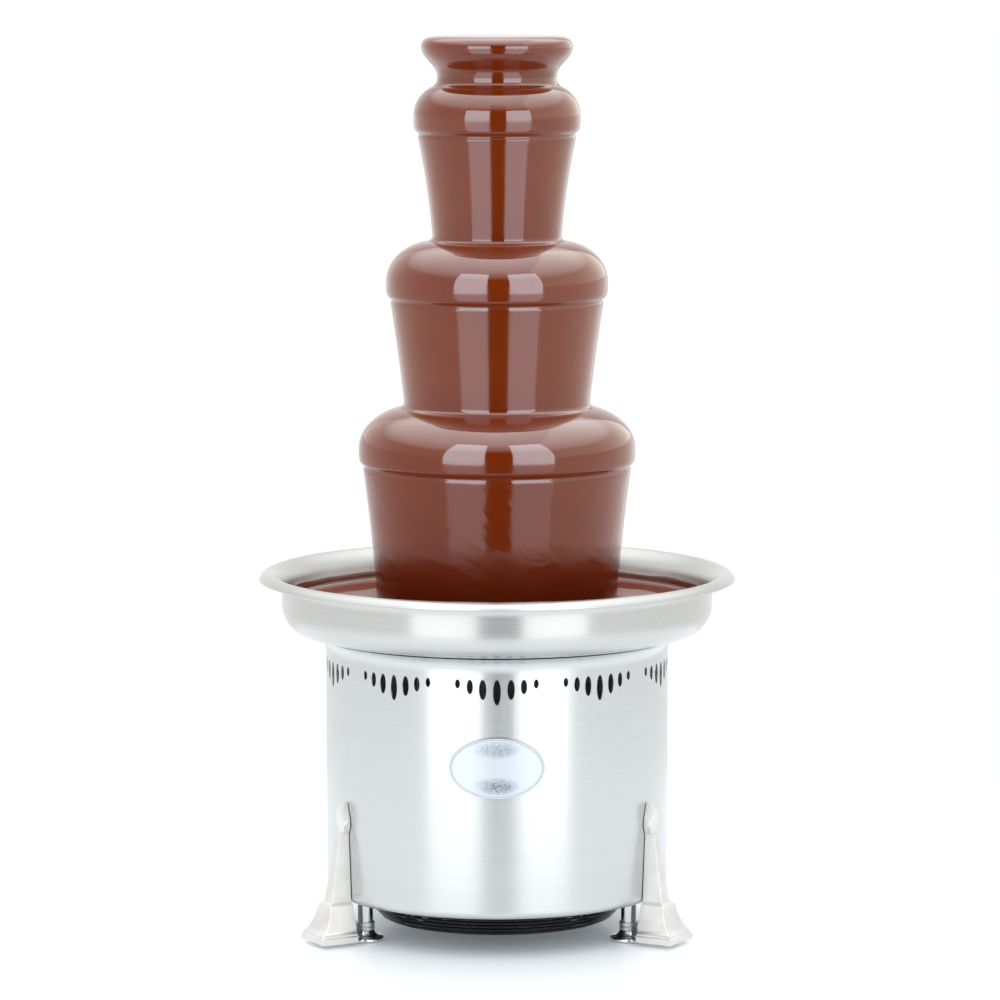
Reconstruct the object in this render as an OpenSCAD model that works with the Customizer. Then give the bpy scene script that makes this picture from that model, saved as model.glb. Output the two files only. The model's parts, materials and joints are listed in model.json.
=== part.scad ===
// Three-tier chocolate fountain on a round motor base
// Millimetres, +Z up, the axis of the machine on Z, the ground at z = 0, the front towards -Y

/* [Housing] */
// Outer diameter of the housing
housing_d = 222.8; // [200:0.2:250]
// Height of the housing shell
housing_h = 169.7; // [160:0.1:200]
// Height of the housing above the ground
ground_clearance = 25.4; // [22:0.1:32]
// Thickness of the housing sheet
housing_wall = 1.2; // [1:0.1:2]
// Radius of the rounded lower edge
lower_edge_r = 5; // [3:0.5:7]
// Radius of the flare under the basin
flare_r = 11; // [8:0.5:13]
// Sweep of the flare in degrees
flare_sweep = 74; // [50:1:76]
// Clearance of the sheet pieces inside the housing
sheet_gap = 0.3; // [0.1:0.05:0.6]

/* [Vents] */
// Number of vent groups round the housing
vent_groups = 10; // [6:1:10]
// Drop from the top of the housing to the tops of the vents
vent_drop = 15.1; // [14:0.1:20]
// Height of the middle vent
vent_h = 16.3; // [10:0.1:18]
// Width of the middle vent
vent_w = 4.9; // [3:0.1:5]
// Distance between vents along the wall
vent_pitch = 8.4; // [7:0.1:9]
// Height lost from one vent to the next
vent_step = 3.5; // [2:0.1:3.6]
// Width lost from one vent to the next
vent_taper = 0.6; // [0.2:0.1:0.8]

/* [Nameplate] */
// Width of the oval plate
plate_w = 61.5; // [40:0.5:80]
// Height of the oval plate
plate_h = 39; // [25:0.5:50]
// Thickness of the oval plate
plate_t = 1.4; // [1:0.1:2]
// Height of the plate's rim above its field
plate_rim_h = 0.7; // [0.3:0.1:1]
// Width of the plate's rim
plate_rim_w = 1.8; // [1:0.1:3]
// Height of the plate's centre above the housing's lower edge
plate_rise = 98; // [60:1:120]

/* [Legs] */
// Number of degrees between the front and each front leg
leg_angle = 60; // [50:1:70]
// Height of the leg above the ground
leg_clearance = 2.5; // [1.5:0.1:5]
// Height of the leg's plinth
plinth_h = 4; // [3:0.5:6]
// Tangential width of the plinth
plinth_w = 30; // [24:0.5:36]
// Radial depth of the plinth
plinth_depth = 25.7; // [20:0.1:30]
// Height of the bell above the plinth
bell_h = 21.5; // [16:0.5:26]
// Tangential width of the bell at its top
bell_w = 16.4; // [14:0.1:20]
// Radial depth of the bell at its top
bell_depth = 16.6; // [15.5:0.1:20]
// Height of the tapered shaft
shaft_h = 43.5; // [36:0.5:50]
// Tangential width of the shaft at its foot
shaft_w = 11; // [9:0.1:13]
// Tangential width of the shaft at its top
shaft_top_w = 5; // [4:0.1:7]
// Radial depth of the shaft at its foot
shaft_depth = 14; // [12:0.1:15]
// Radial depth of the shaft at its top
shaft_top_depth = 6.6; // [5:0.1:9]
// Height of the spear finial
finial_h = 20; // [14:0.5:24]
// Tangential width of the finial
finial_w = 9.6; // [7:0.1:12]
// Gap between leg and housing
leg_gap = 0.3; // [0.1:0.05:0.6]
// Diameter of the leg screws
leg_screw_d = 4; // [3:0.5:5]
// Length of the leg screws
leg_screw_l = 9; // [7:0.5:9.5]

/* [Feet] */
// Distance of the feet's axes inside the housing's wall
foot_inset = 12.6; // [12.4:0.1:15]
// Diameter of the foot's stem
stem_d = 10.5; // [8:0.1:11]
// Length of the stem above the disc
stem_l = 46; // [40:0.5:52]
// Running clearance of the stem in its bush
stem_gap = 0.06; // [0.03:0.01:0.1]
// Diameter of the foot's disc
foot_d = 25; // [20:0.5:30]
// Height of the foot's disc
foot_h = 7; // [5:0.5:9]
// Height of the foot's straight rim
foot_rim_h = 2.4; // [1.5:0.1:3]
// Distance across the flats of the lock nut
nut_flats = 14; // [13:0.5:17]
// Height of the lock nut
nut_h = 5.5; // [4:0.5:8]
// Height of the foot's bush
bush_h = 6; // [4:0.5:6]
// Outer diameter of the foot's bush
bush_d = 16; // [14:0.5:18]

/* [Fan guard] */
// Diameter of the guard's wire
guard_wire_d = 2.4; // [2:0.1:3]
// Distance of the guard's top ring inside the housing's wall
guard_inset = 19.9; // [19.4:0.1:24]
// Height of the guard's lowest ring above the ground
guard_clearance = 9.6; // [8:0.1:12]
// Number of slanted steps at the guard's side
guard_steps = 4; // [3:1:5]
// Radial distance between the side rings
guard_side_pitch = 4; // [3:0.1:5]
// Radial distance between the rings of the flat bottom
guard_pitch = 13; // [10:0.5:16]
// Number of spokes
guard_spokes = 16; // [8:1:24]
// Width of the bottom plate round the air opening, from the housing's wall
air_opening_inset = 27.4; // [25.4:0.1:40]

/* [Basin] */
// Outer diameter of the basin's wall
basin_d = 280; // [264:0.5:300]
// Thickness of the basin's sheet
basin_wall = 1.5; // [1:0.1:2]
// Radius of the basin's lower corner
basin_corner_r = 18; // [10:0.5:18]
// Height of the basin's wall to the start of its rim
basin_wall_h = 27.1; // [26:0.1:40]
// Radius of the rim's flare, on the middle of the sheet
rim_flare_r = 12; // [8:0.5:15]
// Sweep of the rim's flare in degrees
rim_flare_sweep = 65; // [50:1:75]
// Radius of the rim's roll, on the middle of the sheet
rim_roll_r = 6; // [4:0.5:8]
// Sweep of the rim's roll in degrees
rim_roll_sweep = 95; // [70:1:120]
// Depth of the chocolate above the basin's floor
pool_depth = 17.1; // [14:0.1:24]
// Gap under a piece that lifts off
seat_gap = 0.3; // [0.2:0.05:0.5]

/* [Tiers] */
// Outer radius of the coated bottom tier
bottom_tier_r = 89.9; // [82:0.1:98]
// Outer radius of the coated middle tier
middle_tier_r = 71.9; // [66:0.1:78]
// Outer radius of the coated top tier
top_tier_r = 53.9; // [51:0.1:58]
// Height of the bottom tier's brim above the pool
bottom_tier_rise = 102; // [80:0.5:120]
// Height of the middle tier's brim above the bottom tier's
middle_tier_rise = 108; // [80:0.5:120]
// Height of the top tier's brim above the middle tier's
top_tier_rise = 107; // [80:0.5:120]
// Rise of the bottom tier's dome
bottom_dome_h = 27.5; // [22:0.5:34]
// Rise of the middle tier's dome
middle_dome_h = 26.3; // [20:0.1:32]
// Rise of the top tier's dome
top_dome_h = 20.6; // [16:0.1:26]
// Radius at which the bottom tier's dome becomes flat
bottom_dome_r = 50; // [40:0.5:56]
// Radius at which the middle tier's dome becomes flat
middle_dome_r = 40; // [36:0.5:45]
// Radius at which the top tier's dome becomes flat
top_dome_r = 33; // [32.5:0.1:35]
// Height of a tier's upright brim
brim_h = 9; // [6:0.5:12]
// Thickness of the tiers' sheet
tier_wall = 1.2; // [1:0.1:2]
// Thickness of a tier's sleeve on the feed tube
sleeve_wall = 1.2; // [1:0.1:1.5]

/* [Chocolate] */
// Thickness of the coat on the tiers
coat_t = 2; // [1.5:0.1:2.5]
// Thickness of the falling curtains
curtain_t = 1.8; // [1.4:0.1:2.5]
// Step in from the brim to the curtain
curtain_step = 3; // [2.4:0.1:4]
// Outer radius at which the bottom curtain meets the pool
bottom_curtain_r = 78.3; // [70:0.1:84]
// Outer radius at which the middle curtain lands
middle_curtain_r = 60.4; // [57:0.1:66]
// Outer radius at which the top curtain lands
top_curtain_r = 41.8; // [41:0.1:46]
// Inward bow of the bottom curtain
bottom_bow = 1.4; // [0:0.1:3]
// Inward bow of the middle curtain
middle_bow = 0.8; // [0:0.1:3]
// Inward bow of the top curtain
top_bow = 2; // [0:0.1:3]
// Gap between a curtain and what it falls on
fall_gap = 0.5; // [0.4:0.05:1]

/* [Crown] */
// Height of the coated crown above the top tier's brim
crown_rise = 51.7; // [46:0.1:60]
// Outer radius of the coated crown's lip
crown_r = 49.3; // [46:0.1:54]
// Radius of the lip's rounding, with its coat
crown_lip_r = 7; // [5:0.1:8]
// Outer radius of the coated crown's neck
crown_neck_r = 40; // [39:0.1:42]
// Thickness of the crown's sheet
crown_wall = 1.5; // [1:0.1:2]
// Length of the crown's sleeve on the feed tube
crown_sleeve_l = 14; // [10:0.5:16]

/* [Feed tube and auger] */
// Outer diameter of the feed tube
tube_d = 60; // [56:0.5:61]
// Thickness of the feed tube
tube_wall = 1.2; // [1:0.1:2]
// Sliding clearance of the sleeves on the tube
tube_gap = 0.3; // [0.2:0.05:0.5]
// Radius of the tube's foot ring
tube_foot_r = 36; // [34:0.5:40]
// Thickness of the tube's foot ring
tube_foot_t = 3; // [2:0.5:5]
// Height of the intake arches in the tube's foot
intake_h = 14; // [8:0.5:16]
// Width of the intake arches in the tube's foot
intake_w = 22; // [12:0.5:26]
// Radial clearance of the auger in the tube
auger_gap = 0.8; // [0.5:0.1:1.5]
// Diameter of the auger's shaft
auger_shaft_d = 14; // [13:0.5:18]
// Pitch of the auger
auger_pitch = 30; // [24:1:40]
// Thickness of the flight along the shaft
flight_t = 2.4; // [2:0.1:4]
// Distance of the auger's end below the crown's top
auger_drop = 24; // [20:0.5:40]

/* [Drive] */
// Module of the gears
gear_module = 1.25; // [1:0.05:1.4]
// Teeth of the pinions
pinion_teeth = 12; // [12:1:14]
// Teeth of the wheels
wheel_teeth = 36; // [30:2:38]
// Pressure angle of the teeth
pressure_angle = 25; // [20:1:25]
// Backlash of a gear pair
backlash = 0.24; // [0.15:0.01:0.4]
// Face width of the gears
gear_w = 10; // [6:0.5:12]
// Diameter of the drive shaft
drive_shaft_d = 10; // [8:0.5:12]
// Distance across the flats of the drive shaft's end
hex_flats = 8; // [6:0.1:8.4]
// Length of the drive shaft's hexagon end
hex_l = 12; // [8:0.5:16]
// Clearance of the hexagon in the auger
hex_gap = 0.1; // [0.05:0.01:0.2]
// Running clearance of shafts in their bearings
run_gap = 0.05; // [0.02:0.01:0.1]
// Diameter of the idler's pin
idler_pin_d = 8; // [6:0.5:9]
// Outer diameter of the output bearings
bearing_d = 22; // [20:0.5:26]
// Width of the output bearings
bearing_w = 7; // [5:0.5:8]
// Wall of the gear case
case_wall = 3; // [2:0.5:5]
// Outer diameter of the shaft seal
seal_d = 18; // [16:0.5:20]
// Height of the shaft seal
seal_h = 6; // [4:0.5:8]

/* [Motor] */
// Diameter of the motor's shaft
motor_shaft_d = 8; // [6:0.5:9]
// Diameter of the rotor
rotor_d = 40; // [30:1:44]
// Air gap between rotor and stator
air_gap = 0.6; // [0.4:0.1:1]
// Diameter of the stator
stator_d = 84; // [70:1:90]
// Height of the stator's core
stator_h = 36; // [24:1:44]
// Height of the windings above and below the core
winding_h = 9; // [6:0.5:12]
// Thickness of the motor's bells
bell_wall = 3; // [2:0.5:4]
// Distance of the cooling fan's tips inside the housing's wall
fan_inset = 39.4; // [32:0.1:56]
// Number of fan blades
fan_blades = 7; // [5:1:9]
// Height of the cooling fan
fan_h = 14; // [10:0.5:16]

/* [Heater] */
// Diameter of the heater plate
heater_d = 150; // [120:1:180]
// Thickness of the heater plate
heater_t = 3; // [2:0.5:4]
// Diameter of the heating element's tube
element_d = 4.4; // [3:0.1:4.6]
// Distance of the heating element's ring inside the heater plate's edge
element_inset = 19; // [16:0.5:30]
// Distance of the heater's posts inside the heater plate's edge
post_inset = 8; // [5:0.5:9]
// Space between the deck and the heater plate
heater_space = 5; // [4.8:0.1:6]

/* [Controls] */
// Width of the opening for the rear control tray
tray_w = 100; // [92:1:104]
// Height of the opening for the rear control tray
tray_h = 50; // [44:1:56]
// Drop from the top of the housing to the tray's centre
tray_drop = 66.7; // [62:0.1:70]
// Thickness of the tray's sheet
tray_t = 2; // [1:0.1:3]
// Depth of the tray's face behind the outside of the housing
tray_depth = 15.4; // [14:0.1:18]
// Diameter of the tray's screws
tray_screw_d = 3; // [2:0.5:4]
// Length of the tray's screws
tray_screw_l = 6; // [4:0.5:10]
// Distance of the tray's screws from the edges of its opening
tray_screw_inset = 5; // [4:0.5:6]
// Width of a rocker
rocker_w = 11; // [9:0.5:13]
// Radius of a rocker about its pivot
rocker_r = 8; // [7:0.1:9]
// Tilt of a rocker to each side in degrees
rocker_tilt = 10; // [6:1:12]
// Clearance of a rocker in its frame
rocker_gap = 0.3; // [0.2:0.05:0.5]
// Diameter of the thermostat's knob
knob_d = 24; // [18:0.5:26]
// Height of the thermostat's knob
knob_h = 14; // [10:0.5:18]
// Diameter of the knob's stem
knob_stem_d = 6; // [5:0.5:7]
// Width of the power inlet's socket
inlet_w = 24.5; // [24:0.1:25]
// Height of the power inlet's socket
inlet_h = 16.5; // [16:0.1:17]
// Depth of the power inlet's socket
inlet_depth = 17; // [16:0.5:18]
// Diameter of the indicator lamp
lamp_d = 8; // [5:0.5:10]
// Diameter of the inner wires
wire_d = 2.6; // [2:0.1:4]

/* [Hidden] */
$fn = 96;
eps = 0.01;

steel = [0.80, 0.81, 0.82];
nickel = [0.88, 0.88, 0.87];
chocolate = [0.36, 0.17, 0.09];
black = [0.06, 0.06, 0.06];
cast_grey = [0.55, 0.56, 0.58];
copper = [0.72, 0.42, 0.22];

// Heights from the ground up
housing_r = housing_d / 2;
inside_r = housing_r - housing_wall;
shell_z0 = ground_clearance;
shell_z1 = shell_z0 + housing_h;
flare_z = shell_z1 - (flare_r + housing_wall) * sin(flare_sweep);
basin_z = shell_z1 + seat_gap;
basin_floor = basin_z + basin_wall;
pool_z = basin_floor + pool_depth;
bottom_z = pool_z + bottom_tier_rise;
middle_z = bottom_z + middle_tier_rise;
top_z = middle_z + top_tier_rise;
crown_z = top_z + crown_rise;

// Sheet pieces inside the housing
sheet_t = 1.5;
plate_gap = 0.6;
plate_z = shell_z0 + housing_wall + plate_gap;
flange_h = 14;
deck_t = 2;
heater_gap = 0.2;
deck_z1 = shell_z1 - heater_space - heater_t - heater_gap;
deck_z0 = deck_z1 - deck_t;
deck_skirt_h = 4;
vent_z = shell_z1 - vent_drop;
vent_fullness = 1.12;

// Radii of the feed tube, its sleeves and the auger
tube_r = tube_d / 2;
bore_r = tube_r - tube_wall;
sleeve_r0 = tube_r + tube_gap;
sleeve_r1 = sleeve_r0 + sleeve_wall;
auger_r = bore_r - auger_gap;
tube_z0 = basin_floor + seat_gap;
sleeve_z0 = tube_z0 + tube_foot_t + seat_gap;

// Tops of the bare domes, where the next sleeve sits
bottom_top = bottom_z + bottom_dome_h - coat_t;
middle_top = middle_z + middle_dome_h - coat_t;
top_top = top_z + top_dome_h - coat_t;
crown_seat = top_top + seat_gap;
tube_z1 = crown_seat + crown_sleeve_l - 4;

// Gear train: both stages have the same centre distance, so the output lies on the axis
pinion_pitch_r = gear_module * pinion_teeth / 2;
wheel_pitch_r = gear_module * wheel_teeth / 2;
idler_x = pinion_pitch_r + wheel_pitch_r;
wheel_tip_r = wheel_pitch_r + gear_module;
gear_gap = 4;
case_clear = 2.5;
cover_z1 = deck_z0;
cover_t = 3;
boss_rim = 3;
boss_r = bearing_d / 2 + boss_rim;
bearing_gap = 3;
boss_drop = 2 * bearing_w + bearing_gap;
boss_z0 = cover_z1 - boss_drop;
stage2_z = boss_z0 - 2 - gear_w;
stage1_z = stage2_z - gear_gap - gear_w;
case_z0 = stage1_z - gear_gap - case_wall;
case_r = wheel_tip_r + case_clear + case_wall;
case_z1 = cover_z1 - cover_t;

// Motor below the gear case
motor_z1 = case_z0;
stator_z1 = motor_z1 - bell_wall - winding_h;
stator_z0 = stator_z1 - stator_h;
motor_z0 = stator_z0 - winding_h - bell_wall;
stator_r = stator_d / 2;
fan_gap = 5;
fan_d = 2 * (housing_r - fan_inset);
fan_z1 = motor_z0 - fan_gap;
fan_z0 = fan_z1 - fan_h;
shaft_z1 = stage1_z + gear_w + 1;

// Drive shaft and auger
seal_z1 = basin_floor + seal_h;
hex_z0 = seal_z1;
hex_z1 = hex_z0 + hex_l;
auger_z0 = seal_z1 + 0.3;
auger_z1 = crown_z - auger_drop;
flight_z0 = auger_z0 + 0.5;
flight_turns = (auger_z1 - 4 - flight_z0) / auger_pitch;

// Heating element and its ends
element_r = heater_d / 2 - element_inset;
element_split = 12;
end_angle = element_split + 3;
element_drop = 10;
element_pin_d = element_d * 0.75;

// Rear control tray
tray_y = housing_r - tray_depth;
tray_z = shell_z1 - tray_drop;
tray_half = sqrt(pow(inside_r - sheet_gap, 2) - tray_y * tray_y);
inlet_x = -34;
motor_rocker_x = -6;
heat_rocker_x = 12;
knob_x = 35;
lamp_x = 3;
lamp_rise = 17;
frame_t = 2;
frame_rim = 2.2;
rocker_pivot_y = tray_y - 1;
switch_depth = 20;
inlet_flange = 3;

// Feet, guard and air opening follow the housing's wall
foot_circle_r = housing_r - foot_inset;
guard_r = housing_r - guard_inset;
air_opening_r = housing_r - air_opening_inset;
foot_angles = [-leg_angle, leg_angle, 180];

// Points of an arc from angle a0 to angle a1
function arc(centre, r, a0, a1, steps = 12) =
    [for (i = [0 : steps]) let (a = a0 + (a1 - a0) * i / steps) centre + r * [cos(a), sin(a)]];

// Points of an ellipse from angle a0 to angle a1
function oval(centre, rx, ry, a0, a1, steps = 16) =
    [for (i = [0 : steps]) let (a = a0 + (a1 - a0) * i / steps)
        centre + [rx * cos(a), ry * sin(a)]];

// Points of a curve from p to q that bends towards c
function bend(p, c, q, steps = 12) =
    [for (i = [0 : steps]) let (t = i / steps)
        (1 - t) * (1 - t) * p + 2 * t * (1 - t) * c + t * t * q];

function reversed(list) = [for (i = [len(list) - 1 : -1 : 0]) list[i]];

module turned(points) {
    rotate_extrude() polygon(points);
}

module ring(r0, r1, z0, z1) {
    translate([0, 0, z0]) difference() {
        cylinder(r = r1, h = z1 - z0);
        translate([0, 0, -1]) cylinder(r = r0, h = z1 - z0 + 2);
    }
}

module disc(r, z0, z1) {
    translate([0, 0, z0]) cylinder(r = r, h = z1 - z0);
}

// Turns a piece drawn at the front, towards -Y, to its place round the axis
module around(angle) {
    rotate([0, 0, angle]) children();
}

// Axis along +Y, away from the machine
module facing_rear(x, y, z) {
    translate([x, y, z]) rotate([-90, 0, 0]) children();
}

// Screw with its head on z = 0 and its shank below
module screw(d, l) {
    cylinder(r = d * 0.85, h = d * 0.7);
    translate([0, 0, -l]) cylinder(r = d / 2, h = l + eps);
}

// Upright oval vent, its top at z = 0, cut along Y
module vent(w, h) {
    reach = h * vent_fullness;
    r = (reach * reach + w * w) / (4 * w);
    translate([0, 0, -h / 2]) rotate([90, 0, 0]) linear_extrude(12, center = true)
        intersection() {
            translate([r - w / 2, 0]) circle(r);
            translate([w / 2 - r, 0]) circle(r);
            circle(h / 2);
        }
}

module housing_shell() {
    edge = [housing_r - lower_edge_r, shell_z0 + lower_edge_r];
    flare = [housing_r + flare_r, flare_z];
    slot_arc = vent_pitch / housing_r * 180 / PI;
    outside = concat(arc(edge, lower_edge_r, -90, 0), arc(flare, flare_r, 180, 180 - flare_sweep));
    inside = concat(arc(edge, lower_edge_r - housing_wall, -90, 0),
        arc(flare, flare_r + housing_wall, 180, 180 - flare_sweep));
    color(steel) difference() {
        turned(concat(outside, reversed(inside)));
        for (g = [0 : vent_groups - 1], s = [-3 : 3])
            around(g * 360 / vent_groups + s * slot_arc) translate([0, -housing_r, vent_z])
                vent(vent_w - abs(s) * vent_taper, vent_h - abs(s) * vent_step);
        translate([-tray_w / 2, tray_y, tray_z - tray_h / 2]) cube([tray_w, tray_depth + 1, tray_h]);
        for (a = foot_angles) around(a) leg_screw_holes(leg_screw_d / 2 + 0.2);
    }
}

module bottom_plate() {
    r = inside_r - sheet_gap;
    color(steel) difference() {
        turned([
            [air_opening_r, plate_z], [r - 1.8, plate_z], [r, plate_z + 3.6],
            [r, plate_z + flange_h], [r - sheet_t, plate_z + flange_h],
            [r - sheet_t, plate_z + 4], [r - 2.4, plate_z + sheet_t], [air_opening_r, plate_z + sheet_t]
        ]);
        for (a = foot_angles) around(a) {
            translate([0, -foot_circle_r, plate_z - 1]) cylinder(d = stem_d + 0.8, h = 4);
            leg_screw_holes(leg_screw_d / 2 + 0.2);
        }
    }
}

// Heights and radii shared by the flat floor and the slanted side of the guard
guard_w = guard_wire_d / 2;
guard_fall = plate_z - guard_w - guard_clearance;
guard_low_r = guard_r - guard_steps * guard_side_pitch;
guard_lift = guard_wire_d + 0.05;
guard_slope = [guard_r - guard_low_r, guard_fall];
guard_normal = [-guard_slope[1], guard_slope[0]] * guard_lift / norm(guard_slope);
guard_knee = [guard_low_r + guard_normal[0], 0, guard_clearance + guard_lift];

module guard_spoke_places() {
    for (i = [0 : guard_spokes - 1]) rotate([0, 0, (i + 0.5) * 360 / guard_spokes]) children();
}

module fan_guard() {
    hub_r = guard_pitch - guard_w - 0.4;
    color(black) {
        for (r = [guard_low_r : -guard_pitch : guard_pitch]) turned_wire(r, guard_clearance);
        guard_spoke_places() {
            rod([guard_pitch * 0.7, 0, guard_knee[2]], guard_knee, guard_wire_d);
            translate(guard_knee) sphere(d = guard_wire_d, $fn = 24);
        }
        disc(hub_r, guard_clearance - guard_w, guard_clearance + guard_w - 0.2);
    }
}

// Slanted side of the guard: rings, and spokes from the knee up to the bottom plate
module guard_side() {
    reach = 0.87;
    top = [guard_low_r + guard_normal[0] + reach * guard_slope[0], 0,
        guard_clearance + guard_normal[1] + reach * guard_slope[1]];
    start = guard_knee + (top - guard_knee) * (guard_w + 0.05) / norm(top - guard_knee);
    color(black) {
        for (i = [1 : guard_steps])
            turned_wire(guard_low_r + i * guard_side_pitch, guard_clearance + guard_fall * i / guard_steps);
        guard_spoke_places() rod(start, top, guard_wire_d);
    }
}

module turned_wire(r, z) {
    rotate_extrude() translate([r, z]) circle(d = guard_wire_d, $fn = 24);
}

module rod(p, q, d) {
    v = q - p;
    translate(p) rotate([0, acos(v[2] / norm(v)), atan2(v[1], v[0])]) cylinder(d = d, h = norm(v), $fn = 24);
}

module top_deck() {
    r = inside_r - sheet_gap;
    color(steel) difference() {
        turned([
            [boss_r + 0.5, deck_z0], [r - sheet_t, deck_z0], [r - sheet_t, deck_z1 - deck_skirt_h],
            [r, deck_z1 - deck_skirt_h], [r, deck_z1], [boss_r + 0.5, deck_z1]
        ]);
        gearbox_screw_places() translate([0, 0, deck_z0 - 1]) cylinder(d = 4.5, h = deck_t + 2);
        element_ends() translate([0, 0, deck_z0 - 1]) cylinder(d = element_d + 1, h = deck_t + 2);
    }
}

module nameplate() {
    r = housing_r + sheet_gap;
    color([0.78, 0.80, 0.84]) intersection() {
        translate([0, 0, shell_z0 + plate_rise]) rotate([90, 0, 0])
            linear_extrude(housing_d) polygon(oval([0, 0], plate_w / 2, plate_h / 2, 0, 352.5, 47));
        union() {
            ring(r, r + plate_t, shell_z0 + plate_rise - plate_h, shell_z0 + plate_rise + plate_h);
            difference() {
                ring(r, r + plate_t + plate_rim_h, shell_z0 + plate_rise - plate_h,
                    shell_z0 + plate_rise + plate_h);
                translate([0, 0, shell_z0 + plate_rise]) rotate([90, 0, 0]) linear_extrude(housing_d)
                    polygon(oval([0, 0], plate_w / 2 - plate_rim_w, plate_h / 2 - plate_rim_w,
                        0, 352.5, 47));
            }
        }
    }
}

// Leg drawn at the front: its back stands on the housing, X is the tangent
module leg() {
    back = housing_r + leg_gap;
    z0 = leg_clearance;
    z1 = z0 + plinth_h;
    z2 = z1 + bell_h;
    z3 = z2 + shaft_h;
    z4 = z3 + finial_h;
    hollow = [0.62, 0.35];
    foot_inset = 2;
    bell_foot = [plinth_depth - foot_inset, z1];
    bell_top = [bell_depth, z2 - 2];
    side = concat([[0, z0], [plinth_depth, z0], [plinth_depth, z1]],
        bend(bell_foot, [bell_depth + 1, z1 + bell_h * hollow[1]], bell_top, 8),
        [[shaft_depth, z2], [shaft_top_depth, z3], [shaft_top_depth - 2.4, z3 + 0.6],
        [shaft_top_depth - 1.6, z3 + finial_h * 0.35], [shaft_top_depth, z4 - 4], [2, z4], [0, z4]]);
    half = concat([[plinth_w / 2, z0], [plinth_w / 2, z1]],
        bend([plinth_w / 2 - foot_inset, z1], [bell_w / 2 + 1, z1 + bell_h * hollow[0]],
            [bell_w / 2, z2 - 2], 8),
        [[shaft_w / 2, z2], [shaft_top_w / 2, z3], [finial_w / 2, z3 + finial_h * 0.3],
        [finial_w / 2 - 0.6, z3 + finial_h * 0.5], [1.2, z4]]);
    front = concat(half, reversed([for (p = half) [-p[0], p[1]]]));
    intersection() {
        translate([-plinth_w, -back, 0]) rotate([90, 0, 90]) linear_extrude(2 * plinth_w)
            polygon([for (p = side) [-p[0], p[1]]]);
        translate([0, -back + 1, 0]) rotate([90, 0, 0]) linear_extrude(plinth_depth + 2) polygon(front);
    }
}

module leg_screw_places() {
    for (z = [plate_z + flange_h - 2.8, plate_z + flange_h + 16]) translate([0, 0, z]) children();
}

module leg_screw_holes(r) {
    leg_screw_places() translate([0, -housing_r - leg_gap - 7, 0]) rotate([-90, 0, 0])
        cylinder(r = r, h = 16);
}

module placed_leg(angle) {
    color(nickel) around(angle) difference() {
        leg();
        leg_screw_holes(leg_screw_d / 2 + 0.1);
    }
}

module front_left_leg() { placed_leg(-leg_angle); }
module front_right_leg() { placed_leg(leg_angle); }
module rear_leg() { placed_leg(180); }

module foot(angle) {
    r = foot_d / 2;
    shoulder = stem_d / 2 + 1.2;
    color(steel) around(angle) translate([0, -foot_circle_r, 0]) {
        turned(concat([[0, 0], [r - 0.6, 0], [r, 0.8], [r, foot_rim_h]],
            bend([r - 0.8, foot_rim_h + 0.4], [shoulder + 1, foot_rim_h + 1], [shoulder, foot_h], 8),
            [[stem_d / 2, foot_h], [stem_d / 2, foot_h + stem_l], [0, foot_h + stem_l]]));
    }
}

module front_left_foot() { foot(-leg_angle); }
module front_right_foot() { foot(leg_angle); }
module rear_foot() { foot(180); }

module foot_nut(angle) {
    color([0.70, 0.70, 0.66]) around(angle) translate([0, -foot_circle_r, foot_h + 0.2]) difference() {
        cylinder(d = nut_flats / cos(30), h = nut_h, $fn = 6);
        translate([0, 0, -1]) cylinder(d = stem_d + 2 * stem_gap, h = nut_h + 2);
    }
}

module front_left_foot_nut() { foot_nut(-leg_angle); }
module front_right_foot_nut() { foot_nut(leg_angle); }
module rear_foot_nut() { foot_nut(180); }

module foot_bushes() {
    z = plate_z + sheet_t;
    color(steel) for (a = foot_angles) around(a) translate([0, -foot_circle_r, 0])
        ring(stem_d / 2 + stem_gap, bush_d / 2, z, z + bush_h);
}

// Through-bolts of the motor and the screws of the gear case share one circle
module motor_bolt_places() {
    for (a = [45 : 90 : 315]) rotate([0, 0, a]) translate([stator_r - 5, 0, 0]) children();
}

module motor_stator() {
    color(cast_grey) difference() {
        ring(rotor_d / 2 + air_gap, stator_r, stator_z0, stator_z1);
        motor_bolt_places() translate([0, 0, stator_z0 - 1]) cylinder(d = 4.4, h = stator_h + 2);
    }
}

module stator_windings() {
    r0 = rotor_d / 2 + air_gap + 1;
    r1 = stator_r - 9;
    color(copper) for (z = [stator_z0 - winding_h + 1, stator_z1]) ring(r0, r1, z, z + winding_h - 1);
}

// Cup of the motor's frame, open towards the stator
module motor_bell(floor_z, rim_z) {
    z0 = min(floor_z, rim_z);
    z1 = max(floor_z, rim_z);
    cavity = floor_z < rim_z ? z0 + bell_wall : z0 - 1;
    difference() {
        disc(stator_r, z0, z1);
        translate([0, 0, cavity]) cylinder(r = stator_r - 8.8, h = z1 - z0 - bell_wall + 1);
        translate([0, 0, z0 - 1]) cylinder(d = motor_shaft_d + 2 * run_gap, h = z1 - z0 + 2);
        motor_bolt_places() translate([0, 0, z0 - 1]) cylinder(d = 4.4, h = z1 - z0 + 2);
    }
}

module motor_lower_bell() {
    color(cast_grey) motor_bell(motor_z0, stator_z0);
}

module motor_upper_bell() {
    color(cast_grey) motor_bell(motor_z1, stator_z1);
}

module rotor_core() {
    color(cast_grey) ring(motor_shaft_d / 2, rotor_d / 2, stator_z0 - 2, stator_z1 + 2);
}

module motor_shaft() {
    color(steel) disc(motor_shaft_d / 2, fan_z0, shaft_z1);
}

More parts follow.
